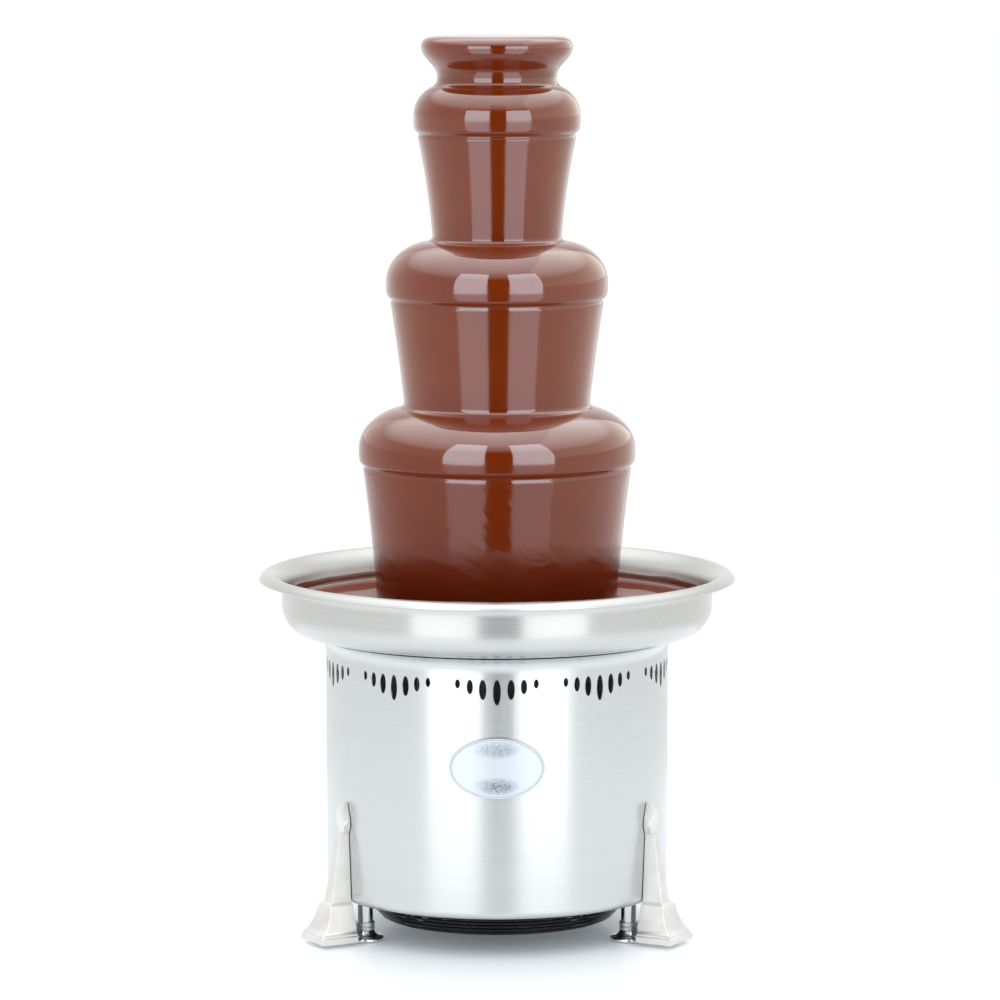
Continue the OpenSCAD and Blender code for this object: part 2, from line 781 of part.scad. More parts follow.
// Outline of an involute gear with a tooth on +X
function gear_outline(teeth, steps = 4) =
    let (rp = gear_module * teeth / 2, rb = rp * cos(pressure_angle),
        ra = rp + gear_module, rf = rp - 1.25 * gear_module, r0 = max(rb, rf),
        half = 90 / teeth - backlash / 4 / rp * 180 / PI + roll_angle(rp, rb))
    [for (i = [0 : teeth - 1], p = concat(
        rf < rb ? [[rf, -(half - roll_angle(r0, rb))]] : [],
        [for (k = [0 : steps]) let (r = r0 + (ra - r0) * k / steps) [r, roll_angle(r, rb) - half]],
        [for (k = [steps : -1 : 0]) let (r = r0 + (ra - r0) * k / steps) [r, half - roll_angle(r, rb)]],
        rf < rb ? [[rf, half - roll_angle(r0, rb)]] : []))
        p[0] * [cos(p[1] + 360 * i / teeth), sin(p[1] + 360 * i / teeth)]];

// Polar angle of an involute at radius r, from the base circle rb
function roll_angle(r, rb) =
    let (t = sqrt(max(0, r * r / rb / rb - 1))) t * 180 / PI - atan(t);

module gear_body(teeth, z, turn) {
    translate([0, 0, z]) rotate([0, 0, turn]) linear_extrude(gear_w) polygon(gear_outline(teeth));
}

module gear(teeth, bore_d, z, turn) {
    difference() {
        gear_body(teeth, z, turn);
        translate([0, 0, z - 1]) cylinder(d = bore_d, h = gear_w + 2);
    }
}

module drive_pinion() {
    color(steel) gear(pinion_teeth, motor_shaft_d, stage1_z, 0);
}

module cooling_fan() {
    hub_r = 16;
    lean = 32;
    color(black) {
        ring(motor_shaft_d / 2, hub_r, fan_z0, fan_z1);
        for (i = [0 : fan_blades - 1]) rotate([0, 0, i * 360 / fan_blades])
            intersection() {
                translate([hub_r - 2, 0, (fan_z0 + fan_z1) / 2]) rotate([lean, 0, 0])
                    translate([0, -fan_h, -1]) cube([fan_d / 2 - hub_r + 2, 2 * fan_h, 2]);
                ring(hub_r - 1, fan_d / 2, fan_z0, fan_z1);
            }
    }
}

// Rounded outline round both gear centres
module case_outline(r) {
    circle(r);
    translate([idler_x, 0]) circle(r);
    translate([0, -r]) square([idler_x, 2 * r]);
}

module gear_case() {
    inner = case_r - case_wall;
    color(cast_grey) difference() {
        translate([0, 0, case_z0]) linear_extrude(case_z1 - case_z0) case_outline(case_r);
        translate([0, 0, case_z0 + case_wall]) linear_extrude(case_z1) case_outline(inner);
        translate([0, 0, case_z0 - 1]) cylinder(d = motor_shaft_d + 2, h = case_wall + 2);
        translate([idler_x, 0, case_z0 - 1]) cylinder(d = idler_pin_d, h = case_wall + 2);
    }
}

module gear_cover() {
    color(cast_grey) difference() {
        union() {
            translate([0, 0, case_z1]) linear_extrude(cover_t) case_outline(case_r);
            disc(boss_r, boss_z0, cover_z1 + deck_t);
        }
        translate([0, 0, boss_z0 - 1]) cylinder(d = bearing_d, h = boss_drop + deck_t + 2);
        translate([idler_x, 0, case_z1 - 1]) cylinder(d = idler_pin_d, h = cover_t + 2);
        gearbox_screw_places() translate([0, 0, case_z1 - 1]) cylinder(d = 4.2, h = cover_t + 2);
    }
}

module gearbox_screw_places() {
    for (p = [[0, 1], [0, -1], [1, 1], [1, -1]])
        translate([p[0] * idler_x, p[1] * (case_r - case_wall - 3), 0]) children();
}

module gearbox_screws() {
    color(steel) {
        gearbox_screw_places() translate([0, 0, deck_z1]) screw(4, deck_t + cover_t + 3);
        motor_bolt_places() translate([0, 0, motor_z0]) rotate([180, 0, 0])
            screw(4, motor_z1 - motor_z0 - 0.5);
    }
}

module idler_pin() {
    color(steel) translate([idler_x, 0, 0]) disc(idler_pin_d / 2, case_z0, cover_z1);
}

module idler_gear() {
    bore = idler_pin_d + 2 * run_gap;
    color(steel) translate([idler_x, 0, 0]) difference() {
        union() {
            gear_body(wheel_teeth, stage1_z, 180 / wheel_teeth);
            disc(pinion_pitch_r - 1.6 * gear_module, stage1_z, stage2_z + gear_w);
            gear_body(pinion_teeth, stage2_z, 0);
        }
        translate([0, 0, stage1_z - 1]) cylinder(d = bore, h = stage2_z + gear_w - stage1_z + 2);
    }
}

module output_gear() {
    color(steel) gear(wheel_teeth, drive_shaft_d, stage2_z, 180 / wheel_teeth);
}

module drive_shaft() {
    color(steel) {
        disc(drive_shaft_d / 2, stage2_z, hex_z0);
        translate([0, 0, hex_z0]) cylinder(d = hex_flats / cos(30), h = hex_l, $fn = 6);
    }
}

module output_bearings() {
    color(steel) for (z = [boss_z0, boss_z0 + bearing_w + bearing_gap])
        ring(drive_shaft_d / 2 + run_gap, bearing_d / 2, z, z + bearing_w);
}

module heater_plate() {
    color([0.75, 0.76, 0.78]) ring(boss_r + 4, heater_d / 2, deck_z1 + heater_space,
        deck_z1 + heater_space + heater_t);
}

module element_ends() {
    for (a = [-1, 1]) rotate([0, 0, a * end_angle]) translate([0, element_r, 0]) children();
}

module heating_element() {
    z = deck_z1 + heater_space - element_d / 2;
    color([0.35, 0.34, 0.33]) {
        rotate([0, 0, 90 + element_split]) rotate_extrude(angle = 360 - 2 * element_split)
            translate([element_r, z]) circle(d = element_d, $fn = 32);
        element_ends() disc(element_pin_d / 2, deck_z0 - element_drop, z);
    }
}

module heater_posts() {
    color(steel) for (a = [30, 150, 270]) rotate([0, 0, a]) translate([heater_d / 2 - post_inset, 0, 0])
        disc(4, deck_z1, deck_z1 + heater_space);
}

module thermal_cutout() {
    r = 8;
    gap = 4.75;
    color(cast_grey) translate([0, -case_r - gap - r, 0]) {
        disc(r, deck_z0 - 9, deck_z0);
        for (x = [-4, 4]) translate([x - 0.4, -2.5, deck_z0 - 17]) cube([0.8, 5, 8 + eps]);
    }
}

// Flat face with a shelf above and below, closed against the round wall
module control_tray() {
    half_h = tray_h / 2 + tray_t;
    color(steel) difference() {
        intersection() {
            disc(inside_r - sheet_gap, tray_z - half_h, tray_z + half_h);
            translate([-tray_half, tray_y - tray_t, tray_z - half_h])
                cube([2 * tray_half, tray_depth + tray_t, 2 * half_h]);
        }
        translate([-tray_half - 1, tray_y, tray_z - tray_h / 2])
            cube([2 * tray_half + 2, tray_depth, tray_h]);
        for (x = [motor_rocker_x, heat_rocker_x])
            translate([x - rocker_w / 2 - 1.5, tray_y - tray_t - 1, tray_z - rocker_r - 1.5])
                cube([rocker_w + 3, tray_t + 2, 2 * rocker_r + 3]);
        translate([inlet_x - inlet_w / 2 - 1.5, tray_y - tray_t - 1, tray_z - inlet_h / 2 - 1.5])
            cube([inlet_w + 3, tray_t + 2, inlet_h + 3]);
        facing_rear(knob_x, tray_y - tray_t - 1, tray_z) cylinder(d = knob_stem_d + 4, h = tray_t + 2);
        facing_rear(lamp_x, tray_y - tray_t - 1, tray_z + lamp_rise) cylinder(d = lamp_d, h = tray_t + 2);
        tray_screw_places() cylinder(d = tray_screw_d + 0.4, h = 4 * tray_t, center = true);
    }
}

module tray_screw_places() {
    for (x = [-1, 1], z = [-1, 1])
        facing_rear(x * (tray_w / 2 - tray_screw_inset), tray_y,
            tray_z + z * (tray_h / 2 - tray_screw_inset)) children();
}

module housing_screws() {
    head_y = inside_r - sheet_gap - sheet_t - 0.1;
    color(steel) {
        for (a = foot_angles) around(a) leg_screw_places()
            translate([0, -head_y, 0]) rotate([-90, 0, 0]) screw(leg_screw_d, leg_screw_l);
        tray_screw_places() screw(tray_screw_d, tray_screw_l);
    }
}

// Frame with its switch body, hollowed for the rocker
module rocker_frame(x) {
    w = rocker_w + 2 * rocker_gap;
    r = rocker_r + rocker_gap;
    translate([x, tray_y, tray_z]) difference() {
        union() {
            translate([-w / 2 - frame_rim, 0, -r - frame_rim]) cube([w + 2 * frame_rim, frame_t,
                2 * (r + frame_rim)]);
            translate([-w / 2 - 1, -switch_depth, -r - 1]) cube([w + 2, switch_depth + eps, 2 * r + 2]);
        }
        translate([-w / 2, rocker_pivot_y - tray_y, 0]) rotate([0, 90, 0]) cylinder(r = r, h = w);
        translate([-w / 2, rocker_pivot_y - tray_y, -r]) cube([w, frame_t + 2, 2 * r]);
    }
}

module rocker_frames() {
    color(black) for (x = [motor_rocker_x, heat_rocker_x]) rocker_frame(x);
}

// Rocker with its upper end out, turning about X
module rocker(x) {
    ridge = rocker_r * 0.42;
    tip = rocker_r * 0.6;
    translate([x - rocker_w / 2, rocker_pivot_y, tray_z]) rotate([-rocker_tilt, 0, 0])
        rotate([90, 0, 90]) linear_extrude(rocker_w) intersection() {
            circle(rocker_r);
            polygon([[-rocker_r, -rocker_r], [tip, -rocker_r], [ridge, 0], [tip, rocker_r],
                [-rocker_r, rocker_r]]);
        }
}

module motor_rocker() { color(black) rocker(motor_rocker_x); }
module heat_rocker() { color([0.6, 0.1, 0.08]) rocker(heat_rocker_x); }

module thermostat_body() {
    color(cast_grey) facing_rear(knob_x, 0, tray_z) difference() {
        union() {
            disc(15, tray_y - tray_t - 20, tray_y - tray_t);
            disc(knob_stem_d / 2 + 1.8, tray_y - tray_t - eps, tray_y + 0.8);
        }
        translate([0, 0, tray_y - tray_t - 14]) cylinder(d = knob_stem_d + 2 * run_gap, h = 30);
    }
}

module thermostat_knob() {
    color(black) facing_rear(knob_x, tray_y, tray_z) {
        turned(concat([[0, 1.3], [knob_d / 2, 1.3]],
            arc([knob_d / 2 - 2.5, 1.3 + knob_h - 2.5], 1.5, 0, 90, 6), [[0, 0.3 + knob_h]]));
        translate([-1.5, -knob_d / 2 + 3, knob_h]) cube([3, knob_d - 8, 2]);
        disc(knob_stem_d / 2, -tray_t - 13, 1.5);
    }
}

module indicator_lamp() {
    r = lamp_d / 2 - 0.1;
    color([0.8, 0.2, 0.1]) facing_rear(lamp_x, tray_y, tray_z + lamp_rise)
        turned(concat([[0, -tray_t - 12], [r, -tray_t - 12], [r, 0], [r + 1.2, 0], [r + 1.2, 1]],
            arc([0, 1], r, 0, 90, 8)));
}

// Socket with three blades, in a flange on the tray
module power_inlet() {
    w = inlet_w;
    h = inlet_h;
    f = inlet_flange;
    color(black) translate([inlet_x, tray_y, tray_z]) {
        difference() {
            union() {
                translate([-w / 2 - f, 0, -h / 2 - f]) cube([w + 2 * f, frame_t, h + 2 * f]);
                translate([-w / 2 - 1.2, -inlet_depth - 2, -h / 2 - 1.2])
                    cube([w + 2.4, inlet_depth + 2 + eps, h + 2.4]);
            }
            translate([-w / 2, -inlet_depth + frame_t, -h / 2]) cube([w, inlet_depth + 1, h]);
        }
        for (p = [[-7, -2], [0, 2], [7, -2]])
            translate([p[0] - 1, -inlet_depth + frame_t - eps, p[1] - 2]) cube([2, 11, 4]);
    }
}

// Round wire swept along a route, with flat ends
module wire(route) {
    sides = 8;
    last = len(route) - 1;
    rings = [for (i = [0 : last])
        let (v = route[min(i + 1, last)] - route[max(i - 1, 0)],
            n = cross(v, [1, 0, 0]) / norm(cross(v, [1, 0, 0])),
            b = cross(v, n) / norm(cross(v, n)))
        for (k = [0 : sides - 1])
            route[i] + wire_d / 2 * (cos(360 * k / sides) * n + sin(360 * k / sides) * b)];
    walls = [for (i = [0 : last - 1], k = [0 : sides - 1])
        let (a = i * sides + k, c = i * sides + (k + 1) % sides)
        each [[a, c, a + sides], [c, c + sides, a + sides]]];
    caps = [for (k = [1 : sides - 2]) each [[0, k + 1, k],
        [last * sides, last * sides + k, last * sides + k + 1]]];
    polyhedron(rings, concat(walls, caps));
}

// Wires from the controls to the motor, the cut-out and the heating element
module wiring() {
    behind = tray_y - switch_depth;
    stator_y = stator_r + wire_d / 2 + sheet_gap;
    low_z = stator_z0 + stator_h / 2;
    wire_drop = 30;
    end_z = deck_z0 - element_drop - sheet_gap;
    end_x = element_r * sin(end_angle);
    end_y = element_r * cos(end_angle);
    from_motor = [motor_rocker_x, behind - sheet_gap, tray_z];
    from_heat = [heat_rocker_x, behind - sheet_gap, tray_z];
    from_inlet = [inlet_x, tray_y - inlet_depth - 2 - wire_d / 2, tray_z];
    color([0.75, 0.72, 0.68]) {
        wire(concat(bend(from_motor, [motor_rocker_x, stator_y, tray_z],
            [motor_rocker_x, stator_y, tray_z - wire_drop]), [[motor_rocker_x, stator_y, low_z]]));
        wire(bend(from_heat, [end_x, end_y, tray_z], [end_x, end_y, end_z]));
        wire(bend(from_inlet, [-end_x, end_y, tray_z], [-end_x, end_y, end_z]));
    }
}

module basin() {
    r = basin_d / 2;
    inner = r - basin_wall;
    half_t = basin_wall / 2;
    corner = [r - basin_corner_r, basin_z + basin_corner_r];
    rim_z = basin_z + basin_wall_h;
    flare = [r + rim_flare_r - half_t, rim_z];
    roll_start = 180 - rim_flare_sweep;
    centre = flare + (rim_flare_r - rim_roll_r) * [-cos(rim_flare_sweep), sin(rim_flare_sweep)];
    outside = concat([[seal_d / 2, basin_z]], arc(corner, basin_corner_r, -90, 0),
        arc(flare, rim_flare_r - half_t, 180, 180 - rim_flare_sweep),
        arc(centre, rim_roll_r - half_t, roll_start, roll_start - rim_roll_sweep));
    inside = concat([[seal_d / 2, basin_floor]], arc(corner, basin_corner_r - basin_wall, -90, 0),
        arc(flare, rim_flare_r + half_t, 180, 180 - rim_flare_sweep),
        arc(centre, rim_roll_r + half_t, roll_start, roll_start - rim_roll_sweep));
    color(steel) turned(concat(outside, reversed(inside)));
}

module shaft_seal() {
    color(black) {
        ring(drive_shaft_d / 2 + run_gap, seal_d / 2, basin_z, basin_floor);
        ring(drive_shaft_d / 2 + run_gap, seal_d / 2 + 2, basin_floor, seal_z1);
    }
}

module basin_chocolate() {
    r = basin_d / 2 - basin_wall;
    corner = [basin_d / 2 - basin_corner_r, basin_z + basin_corner_r];
    color(chocolate) turned(concat([[tube_foot_r + 1, pool_z], [tube_foot_r + 1, basin_floor]],
        arc(corner, basin_corner_r - basin_wall, -90, 0), [[r, pool_z + 3], [r - 0.6, pool_z + 3]],
        arc([r - 3.6, pool_z + 3], 3, 0, -90, 6)));
}

module feed_tube() {
    color(steel) difference() {
        union() {
            disc(tube_r, tube_z0, tube_z1);
            disc(tube_foot_r, tube_z0, tube_z0 + tube_foot_t);
        }
        translate([0, 0, tube_z0 - 1]) cylinder(r = bore_r, h = tube_z1);
        for (a = [60, 180, 300]) rotate([0, 0, a]) translate([bore_r - 6, -intake_w / 2, tube_z0 - 1])
            cube([tube_foot_r, intake_w, intake_h + 1]);
    }
}

module auger_shaft() {
    r = auger_shaft_d / 2;
    color(steel) difference() {
        disc(r, auger_z0, auger_z1);
        translate([0, 0, auger_z0 - 1])
            cylinder(d = (hex_flats + 2 * hex_gap) / cos(30), h = hex_z1 - auger_z0 + 1.5, $fn = 6);
    }
}

module auger_flight() {
    r0 = auger_shaft_d / 2 + 0.1;
    sweep = 360 * flight_t / auger_pitch;
    slices_per_turn = 24;
    sector = concat(arc([0, 0], r0, 0, sweep, 2), reversed(arc([0, 0], auger_r, 0, sweep, 4)));
    color(steel) translate([0, 0, flight_z0])
        linear_extrude(flight_turns * auger_pitch, twist = -360 * flight_turns,
            slices = round(flight_turns * slices_per_turn), segments = len(sector)) polygon(sector);
}

// Bare tier: dome, upright brim and a sleeve that stands on the piece below
module tier(r, z, flat_r, dome_h, sleeve_from) {
    out = r - coat_t;
    top = z + dome_h - coat_t;
    dome = oval([flat_r, z], out - flat_r, dome_h - coat_t, 0, 90);
    under = oval([flat_r, z], out - flat_r - tier_wall, dome_h - coat_t - tier_wall, 0, 90);
    color(steel) turned(concat([[out, z - brim_h]], dome, [[sleeve_r0, top], [sleeve_r0, sleeve_from],
        [sleeve_r1, sleeve_from], [sleeve_r1, top - tier_wall]], reversed(under),
        [[out - tier_wall, z - brim_h]]));
}

// Coat on a tier's dome and brim, and the curtain that falls from the brim
module tier_chocolate(r, z, flat_r, dome_h, land_r, land_z, bow) {
    out = r - coat_t;
    start = [r - curtain_step, z - brim_h - 5];
    land = [land_r, land_z];
    mid = (start + land) / 2 - [bow, 0];
    falling = bend(start, mid, land);
    back = [for (p = reversed(falling)) p - [curtain_t, 0]];
    color(chocolate) turned(concat([[sleeve_r1 + 0.5, z + dome_h]], reversed(oval([flat_r, z], r - flat_r,
        dome_h, 0, 90)), [[r, z - brim_h + 2], [r - 0.8, z - brim_h - 0.8], [r - curtain_step - 0.2,
        z - brim_h - 2.6]], falling, back, [[out - tier_wall, z - brim_h], [out, z - brim_h]],
        oval([flat_r, z], out - flat_r, dome_h - coat_t, 0, 90), [[sleeve_r1 + 0.5, z + dome_h - coat_t]]));
}

// Height of a coated dome at radius r
function dome_height(at, r, z, flat_r, dome_h) =
    z + dome_h * sqrt(1 - pow((max(at, flat_r) - flat_r) / (r - flat_r), 2));

module bottom_tier() {
    tier(bottom_tier_r, bottom_z, bottom_dome_r, bottom_dome_h, sleeve_z0);
}

module bottom_chocolate() {
    tier_chocolate(bottom_tier_r, bottom_z, bottom_dome_r, bottom_dome_h, bottom_curtain_r,
        pool_z + fall_gap, bottom_bow);
}

module middle_tier() {
    tier(middle_tier_r, middle_z, middle_dome_r, middle_dome_h, bottom_top + seat_gap);
}

module middle_chocolate() {
    land = dome_height(middle_curtain_r - curtain_t, bottom_tier_r, bottom_z, bottom_dome_r, bottom_dome_h);
    tier_chocolate(middle_tier_r, middle_z, middle_dome_r, middle_dome_h, middle_curtain_r,
        land + fall_gap, middle_bow);
}

module top_tier() {
    tier(top_tier_r, top_z, top_dome_r, top_dome_h, middle_top + seat_gap);
}

module top_chocolate() {
    land = dome_height(top_curtain_r - curtain_t, middle_tier_r, middle_z, middle_dome_r, middle_dome_h);
    tier_chocolate(top_tier_r, top_z, top_dome_r, top_dome_h, top_curtain_r, land + fall_gap, top_bow);
}

// Outline of the crown's cup from its neck to its lip, set in by a thickness
function crown_side(inset) =
    let (neck = [crown_neck_r - inset, top_top + coat_t + fall_gap],
        lip = [crown_r - crown_lip_r, crown_z - crown_lip_r],
        round = crown_lip_r - inset)
    concat(bend(neck + [0, 4], neck + [0, 13], lip + round * [cos(-20), sin(-20)], 10),
        arc(lip, round, -20, 80, 10));

module crown() {
    outer = crown_side(coat_t);
    inner = crown_side(coat_t + crown_wall);
    foot_z = crown_seat + 4;
    color(steel) turned(concat([[sleeve_r0, crown_seat], [sleeve_r1, crown_seat], [sleeve_r1, foot_z],
        [crown_neck_r - coat_t, foot_z]], outer, reversed(inner),
        [[inner[0][0], foot_z + crown_wall], [sleeve_r1, foot_z + crown_wall],
        [sleeve_r1, crown_seat + crown_sleeve_l], [sleeve_r0, crown_seat + crown_sleeve_l]]));
}

module crown_chocolate() {
    outer = crown_side(0);
    bare = crown_side(coat_t);
    neck_z = top_top + coat_t + fall_gap;
    fill_z = crown_z - crown_lip_r;
    last = len(bare) - 1;
    color(chocolate) turned(concat([[crown_neck_r - coat_t, neck_z], [crown_neck_r, neck_z]], outer,
        [[0, crown_z], [0, fill_z], [bare[last][0] - crown_wall - 0.5, fill_z],
        [bare[last][0] - crown_wall - 0.5, bare[last][1]]], reversed(bare)));
}

housing_shell();
bottom_plate();
fan_guard();
guard_side();
top_deck();
nameplate();
front_left_leg();
front_right_leg();
rear_leg();
housing_screws();
front_left_foot();
front_right_foot();
rear_foot();
front_left_foot_nut();
front_right_foot_nut();
rear_foot_nut();
foot_bushes();
motor_stator();
stator_windings();
motor_lower_bell();
motor_upper_bell();
rotor_core();
motor_shaft();
drive_pinion();
cooling_fan();
gear_case();
gear_cover();
gearbox_screws();
idler_pin();
idler_gear();
output_gear();
drive_shaft();
output_bearings();
heater_plate();
heating_element();
heater_posts();
thermal_cutout();
control_tray();
rocker_frames();
motor_rocker();
heat_rocker();
thermostat_body();
thermostat_knob();
indicator_lamp();
power_inlet();
wiring();
basin();
shaft_seal();
basin_chocolate();
feed_tube();
auger_shaft();
auger_flight();
bottom_tier();
bottom_chocolate();
middle_tier();
middle_chocolate();
top_tier();
top_chocolate();
crown();
crown_chocolate();
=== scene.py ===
import json
import math
import bpy
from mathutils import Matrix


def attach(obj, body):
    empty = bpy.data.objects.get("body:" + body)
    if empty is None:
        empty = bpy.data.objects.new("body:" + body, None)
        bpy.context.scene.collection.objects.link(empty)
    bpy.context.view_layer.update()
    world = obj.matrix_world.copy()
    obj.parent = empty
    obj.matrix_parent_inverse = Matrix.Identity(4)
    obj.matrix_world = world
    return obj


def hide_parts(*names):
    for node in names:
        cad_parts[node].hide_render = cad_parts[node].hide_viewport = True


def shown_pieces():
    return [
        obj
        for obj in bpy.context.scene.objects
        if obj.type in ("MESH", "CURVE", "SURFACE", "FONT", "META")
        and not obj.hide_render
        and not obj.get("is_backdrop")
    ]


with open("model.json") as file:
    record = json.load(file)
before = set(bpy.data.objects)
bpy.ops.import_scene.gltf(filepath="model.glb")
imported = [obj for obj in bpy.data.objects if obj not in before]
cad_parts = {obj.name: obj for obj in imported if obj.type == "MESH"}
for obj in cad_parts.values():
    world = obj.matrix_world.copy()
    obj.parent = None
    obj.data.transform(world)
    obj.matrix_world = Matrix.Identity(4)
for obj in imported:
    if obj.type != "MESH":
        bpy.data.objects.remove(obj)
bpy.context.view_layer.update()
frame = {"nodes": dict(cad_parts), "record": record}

MM = 0.001
FULL_TURN = 2 * math.pi

# Base, in millimetres, as the solids have it
HOUSING_R = 111.4
HOUSING_WALL = 1.2
HOUSING_FOOT_Z = 25.4
HOUSING_FOOT_R = 5
FLARE_Z = 183.37
FLARE_R = 11.0
VENT_TOP_Z = 180.0
VENT_GROUPS = 10
VENTS = ((0, 4.9, 16.3), (9.0, 4.7, 12.8), (17.2, 4.0, 9.3), (25.1, 3.2, 5.8))
PLATE_Z = 123.4
PLATE_HALF = (30.75, 19.5)
LEG_BACK = 111.7
LEG_SHAFT_Z = 71.6
LEG_SCREWS_Z = (38.4, 57.2)
FOOT_CIRCLE = 98.8
CORNERS = {"front_left": -60, "front_right": 60, "rear": 180}
FOOT_BODIES = {"front_left": "left_foot", "front_right": "right_foot", "rear": "back_foot"}
GUARD_FLOOR = (75.5, 9.6)

# Rear controls
TRAY_Y = 96.0
TRAY_Z = 128.4
TRAY_HALF = (50, 25)
KNOB_X, KNOB_Y = 35, 81
KNOB_FLUTES = 16
INLET_X = -34
PIVOT_Y = 95
ROCKER_TIP = -10
LAMP_PLACE = (3, 82, 145.4)

# Basin and chocolate; a dome has its edge's radius and height, the radius of its flat and its rise
BASIN_Z = 195.4
BASIN_FLOOR_Z = 196.9
BASIN_CORNER = (122, BASIN_Z + 18)
POOL_Z = 214.0
POOL_HOLE_R = 37
BOTTOM = (89.9, 316.0, 50.0, 27.5)
MIDDLE = (71.9, 424.0, 40.0, 26.3)
TOP = (53.9, 531.0, 33.0, 20.6)
CUP_FLOOR_Z = 575.7
COAT_HOLE_R = 32
COAT_WALL = 2
CURTAIN_WALL = 1.8

# Studio
LEVEL = 0.72
PLAIN = (0.96, 0.98, 1.0)
COOL = (0.9, 0.99, 1.1)
WARM = (0.94, 1.04, 0.92)
PANEL_WIDTH = 0.93
PANEL_AWAY = 1.5
OVERHEAD_SIZE = 8.0
OVERHEAD_Z = 2.6


# Outlines

def arc(centre, radius, start, end, steps=12):
    turns = [math.radians(start + (end - start) * i / steps) for i in range(steps + 1)]
    return [(centre[0] + radius * math.cos(a), centre[1] + radius * math.sin(a)) for a in turns]


def oval(centre, across, up, start, end, steps=32):
    turns = [math.radians(start + (end - start) * i / steps) for i in range(steps + 1)]
    return [(centre[0] + across * math.cos(a), centre[1] + up * math.sin(a)) for a in turns]


def bend(p, c, q, steps=12):
    found = []
    for i in range(steps + 1):
        t = i / steps
        found.append(tuple((1 - t) ** 2 * a + 2 * t * (1 - t) * b + t * t * d
                           for a, b, d in zip(p, c, q)))
    return found


def eased(points, steps):
    """A smooth curve through the points."""
    line = [points[0], *points, points[-1]]
    found = []
    for a, b, c, d in zip(line, line[1:], line[2:], line[3:]):
        for i in range(steps):
            t = i / steps
            found.append(tuple(0.5 * (2 * q + (r - p) * t + (2 * p - 5 * q + 4 * r - s) * t * t
                                      + (3 * q - p - 3 * r + s) * t ** 3)
                               for p, q, r, s in zip(a, b, c, d)))
    return found + [points[-1]]


# Modelling by hand

def only(piece):
    bpy.ops.object.select_all(action="DESELECT")
    piece.select_set(True)
    bpy.context.view_layer.objects.active = piece


def edit(piece):
    only(piece)
    bpy.ops.object.mode_set(mode="EDIT")
    bpy.ops.mesh.select_all(action="SELECT")


def done(piece, crease=35):
    """Closes seams, turns faces outwards and smooths all but the creases."""
    if bpy.context.mode == "OBJECT":
        edit(piece)
    bpy.ops.mesh.select_all(action="SELECT")
    bpy.ops.mesh.remove_doubles(threshold=1e-6)
    bpy.ops.mesh.normals_make_consistent(inside=False)
    bpy.ops.object.mode_set(mode="OBJECT")
    only(piece)
    bpy.ops.object.shade_smooth_by_angle(angle=math.radians(crease))
    return piece


def thread(name, points):
    """A thread of edges laid along the points, in millimetres, left in edit mode."""
    bpy.ops.object.select_all(action="DESELECT")
    bpy.ops.mesh.primitive_plane_add(size=MM)
    piece = bpy.context.object
    piece.name = piece.data.name = name
    bpy.ops.object.mode_set(mode="EDIT")
    bpy.ops.mesh.select_all(action="SELECT")
    bpy.ops.mesh.merge(type="CENTER")
    bpy.ops.transform.translate(value=[x * MM for x in points[0]])
    for a, b in zip(points, points[1:]):
        step = [(q - p) * MM for p, q in zip(a, b)]
        bpy.ops.mesh.extrude_vertices_move(TRANSFORM_OT_translate={"value": step})
    return piece


def turned(name, profile, steps=192, centre=(0, 0), closed=True):
    """Spins a profile of (radius, height) round an upright axis."""
    line = [(centre[0] + r, centre[1], z) for r, z in profile]
    piece = thread(name, line + line[:1] if closed else line)
    bpy.ops.mesh.select_all(action="SELECT")
    bpy.ops.mesh.remove_doubles(threshold=1e-7)
    bpy.ops.mesh.spin(steps=steps, angle=FULL_TURN, axis=(0, 0, 1),
                      center=(centre[0] * MM, centre[1] * MM, 0))
    return done(piece)


def prism(name, points, depth):
    """A flat face on the points, drawn out by depth."""
    piece = thread(name, points)
    bpy.ops.mesh.select_all(action="SELECT")
    bpy.ops.mesh.edge_face_add()
    bpy.ops.mesh.extrude_region_move(TRANSFORM_OT_translate={"value": [x * MM for x in depth]})
    return done(piece)


def settle(piece, place=(0, 0, 0), turn=(0, 0, 0)):
    """Puts a piece in its place and leaves its object at the origin."""
    only(piece)
    piece.location = [x * MM for x in place]
    piece.rotation_euler = [math.radians(a) for a in turn]
    bpy.ops.object.transform_apply(location=True, rotation=True, scale=True)
    return piece


def copy_of(piece, name):
    only(piece)
    bpy.ops.object.duplicate(linked=False)
    twin = bpy.context.object
    twin.name = twin.data.name = name
    return twin


def joined(name, pieces):
    only(pieces[0])
    for piece in pieces:
        piece.select_set(True)
    bpy.ops.object.join()
    pieces[0].name = pieces[0].data.name = name
    return pieces[0]


def finished(piece, kind, **settings):
    """Adds a modifier and applies it."""
    only(piece)
    tool = piece.modifiers.new(kind.title(), kind)
    for name, value in settings.items():
        setattr(tool, name, value)
    bpy.ops.object.modifier_apply(modifier=tool.name)
    return piece


def cut(piece, cutter, operation="DIFFERENCE"):
    """Takes a cutter out of a piece, or joins it on, and removes the cutter."""
    finished(piece, "BOOLEAN", object=cutter, operation=operation, solver="EXACT")
    bpy.data.objects.remove(cutter)
    return done(piece)


def rounded(piece, width, angle=30, crease=40):
    """Rounds the edges that are sharper than the angle."""
    finished(piece, "BEVEL", width=width * MM, segments=2, limit_method="ANGLE",
             angle_limit=math.radians(angle), harden_normals=False)
    return done(piece, crease)


def place(piece, body, slot, look, *nodes):
    """Gives a piece its finish and its body, and lets it stand for CAD nodes."""
    piece.data.materials.clear()
    piece.data.materials.append(look)
    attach(piece, body)
    if nodes:
        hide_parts(*nodes)


# Finishes

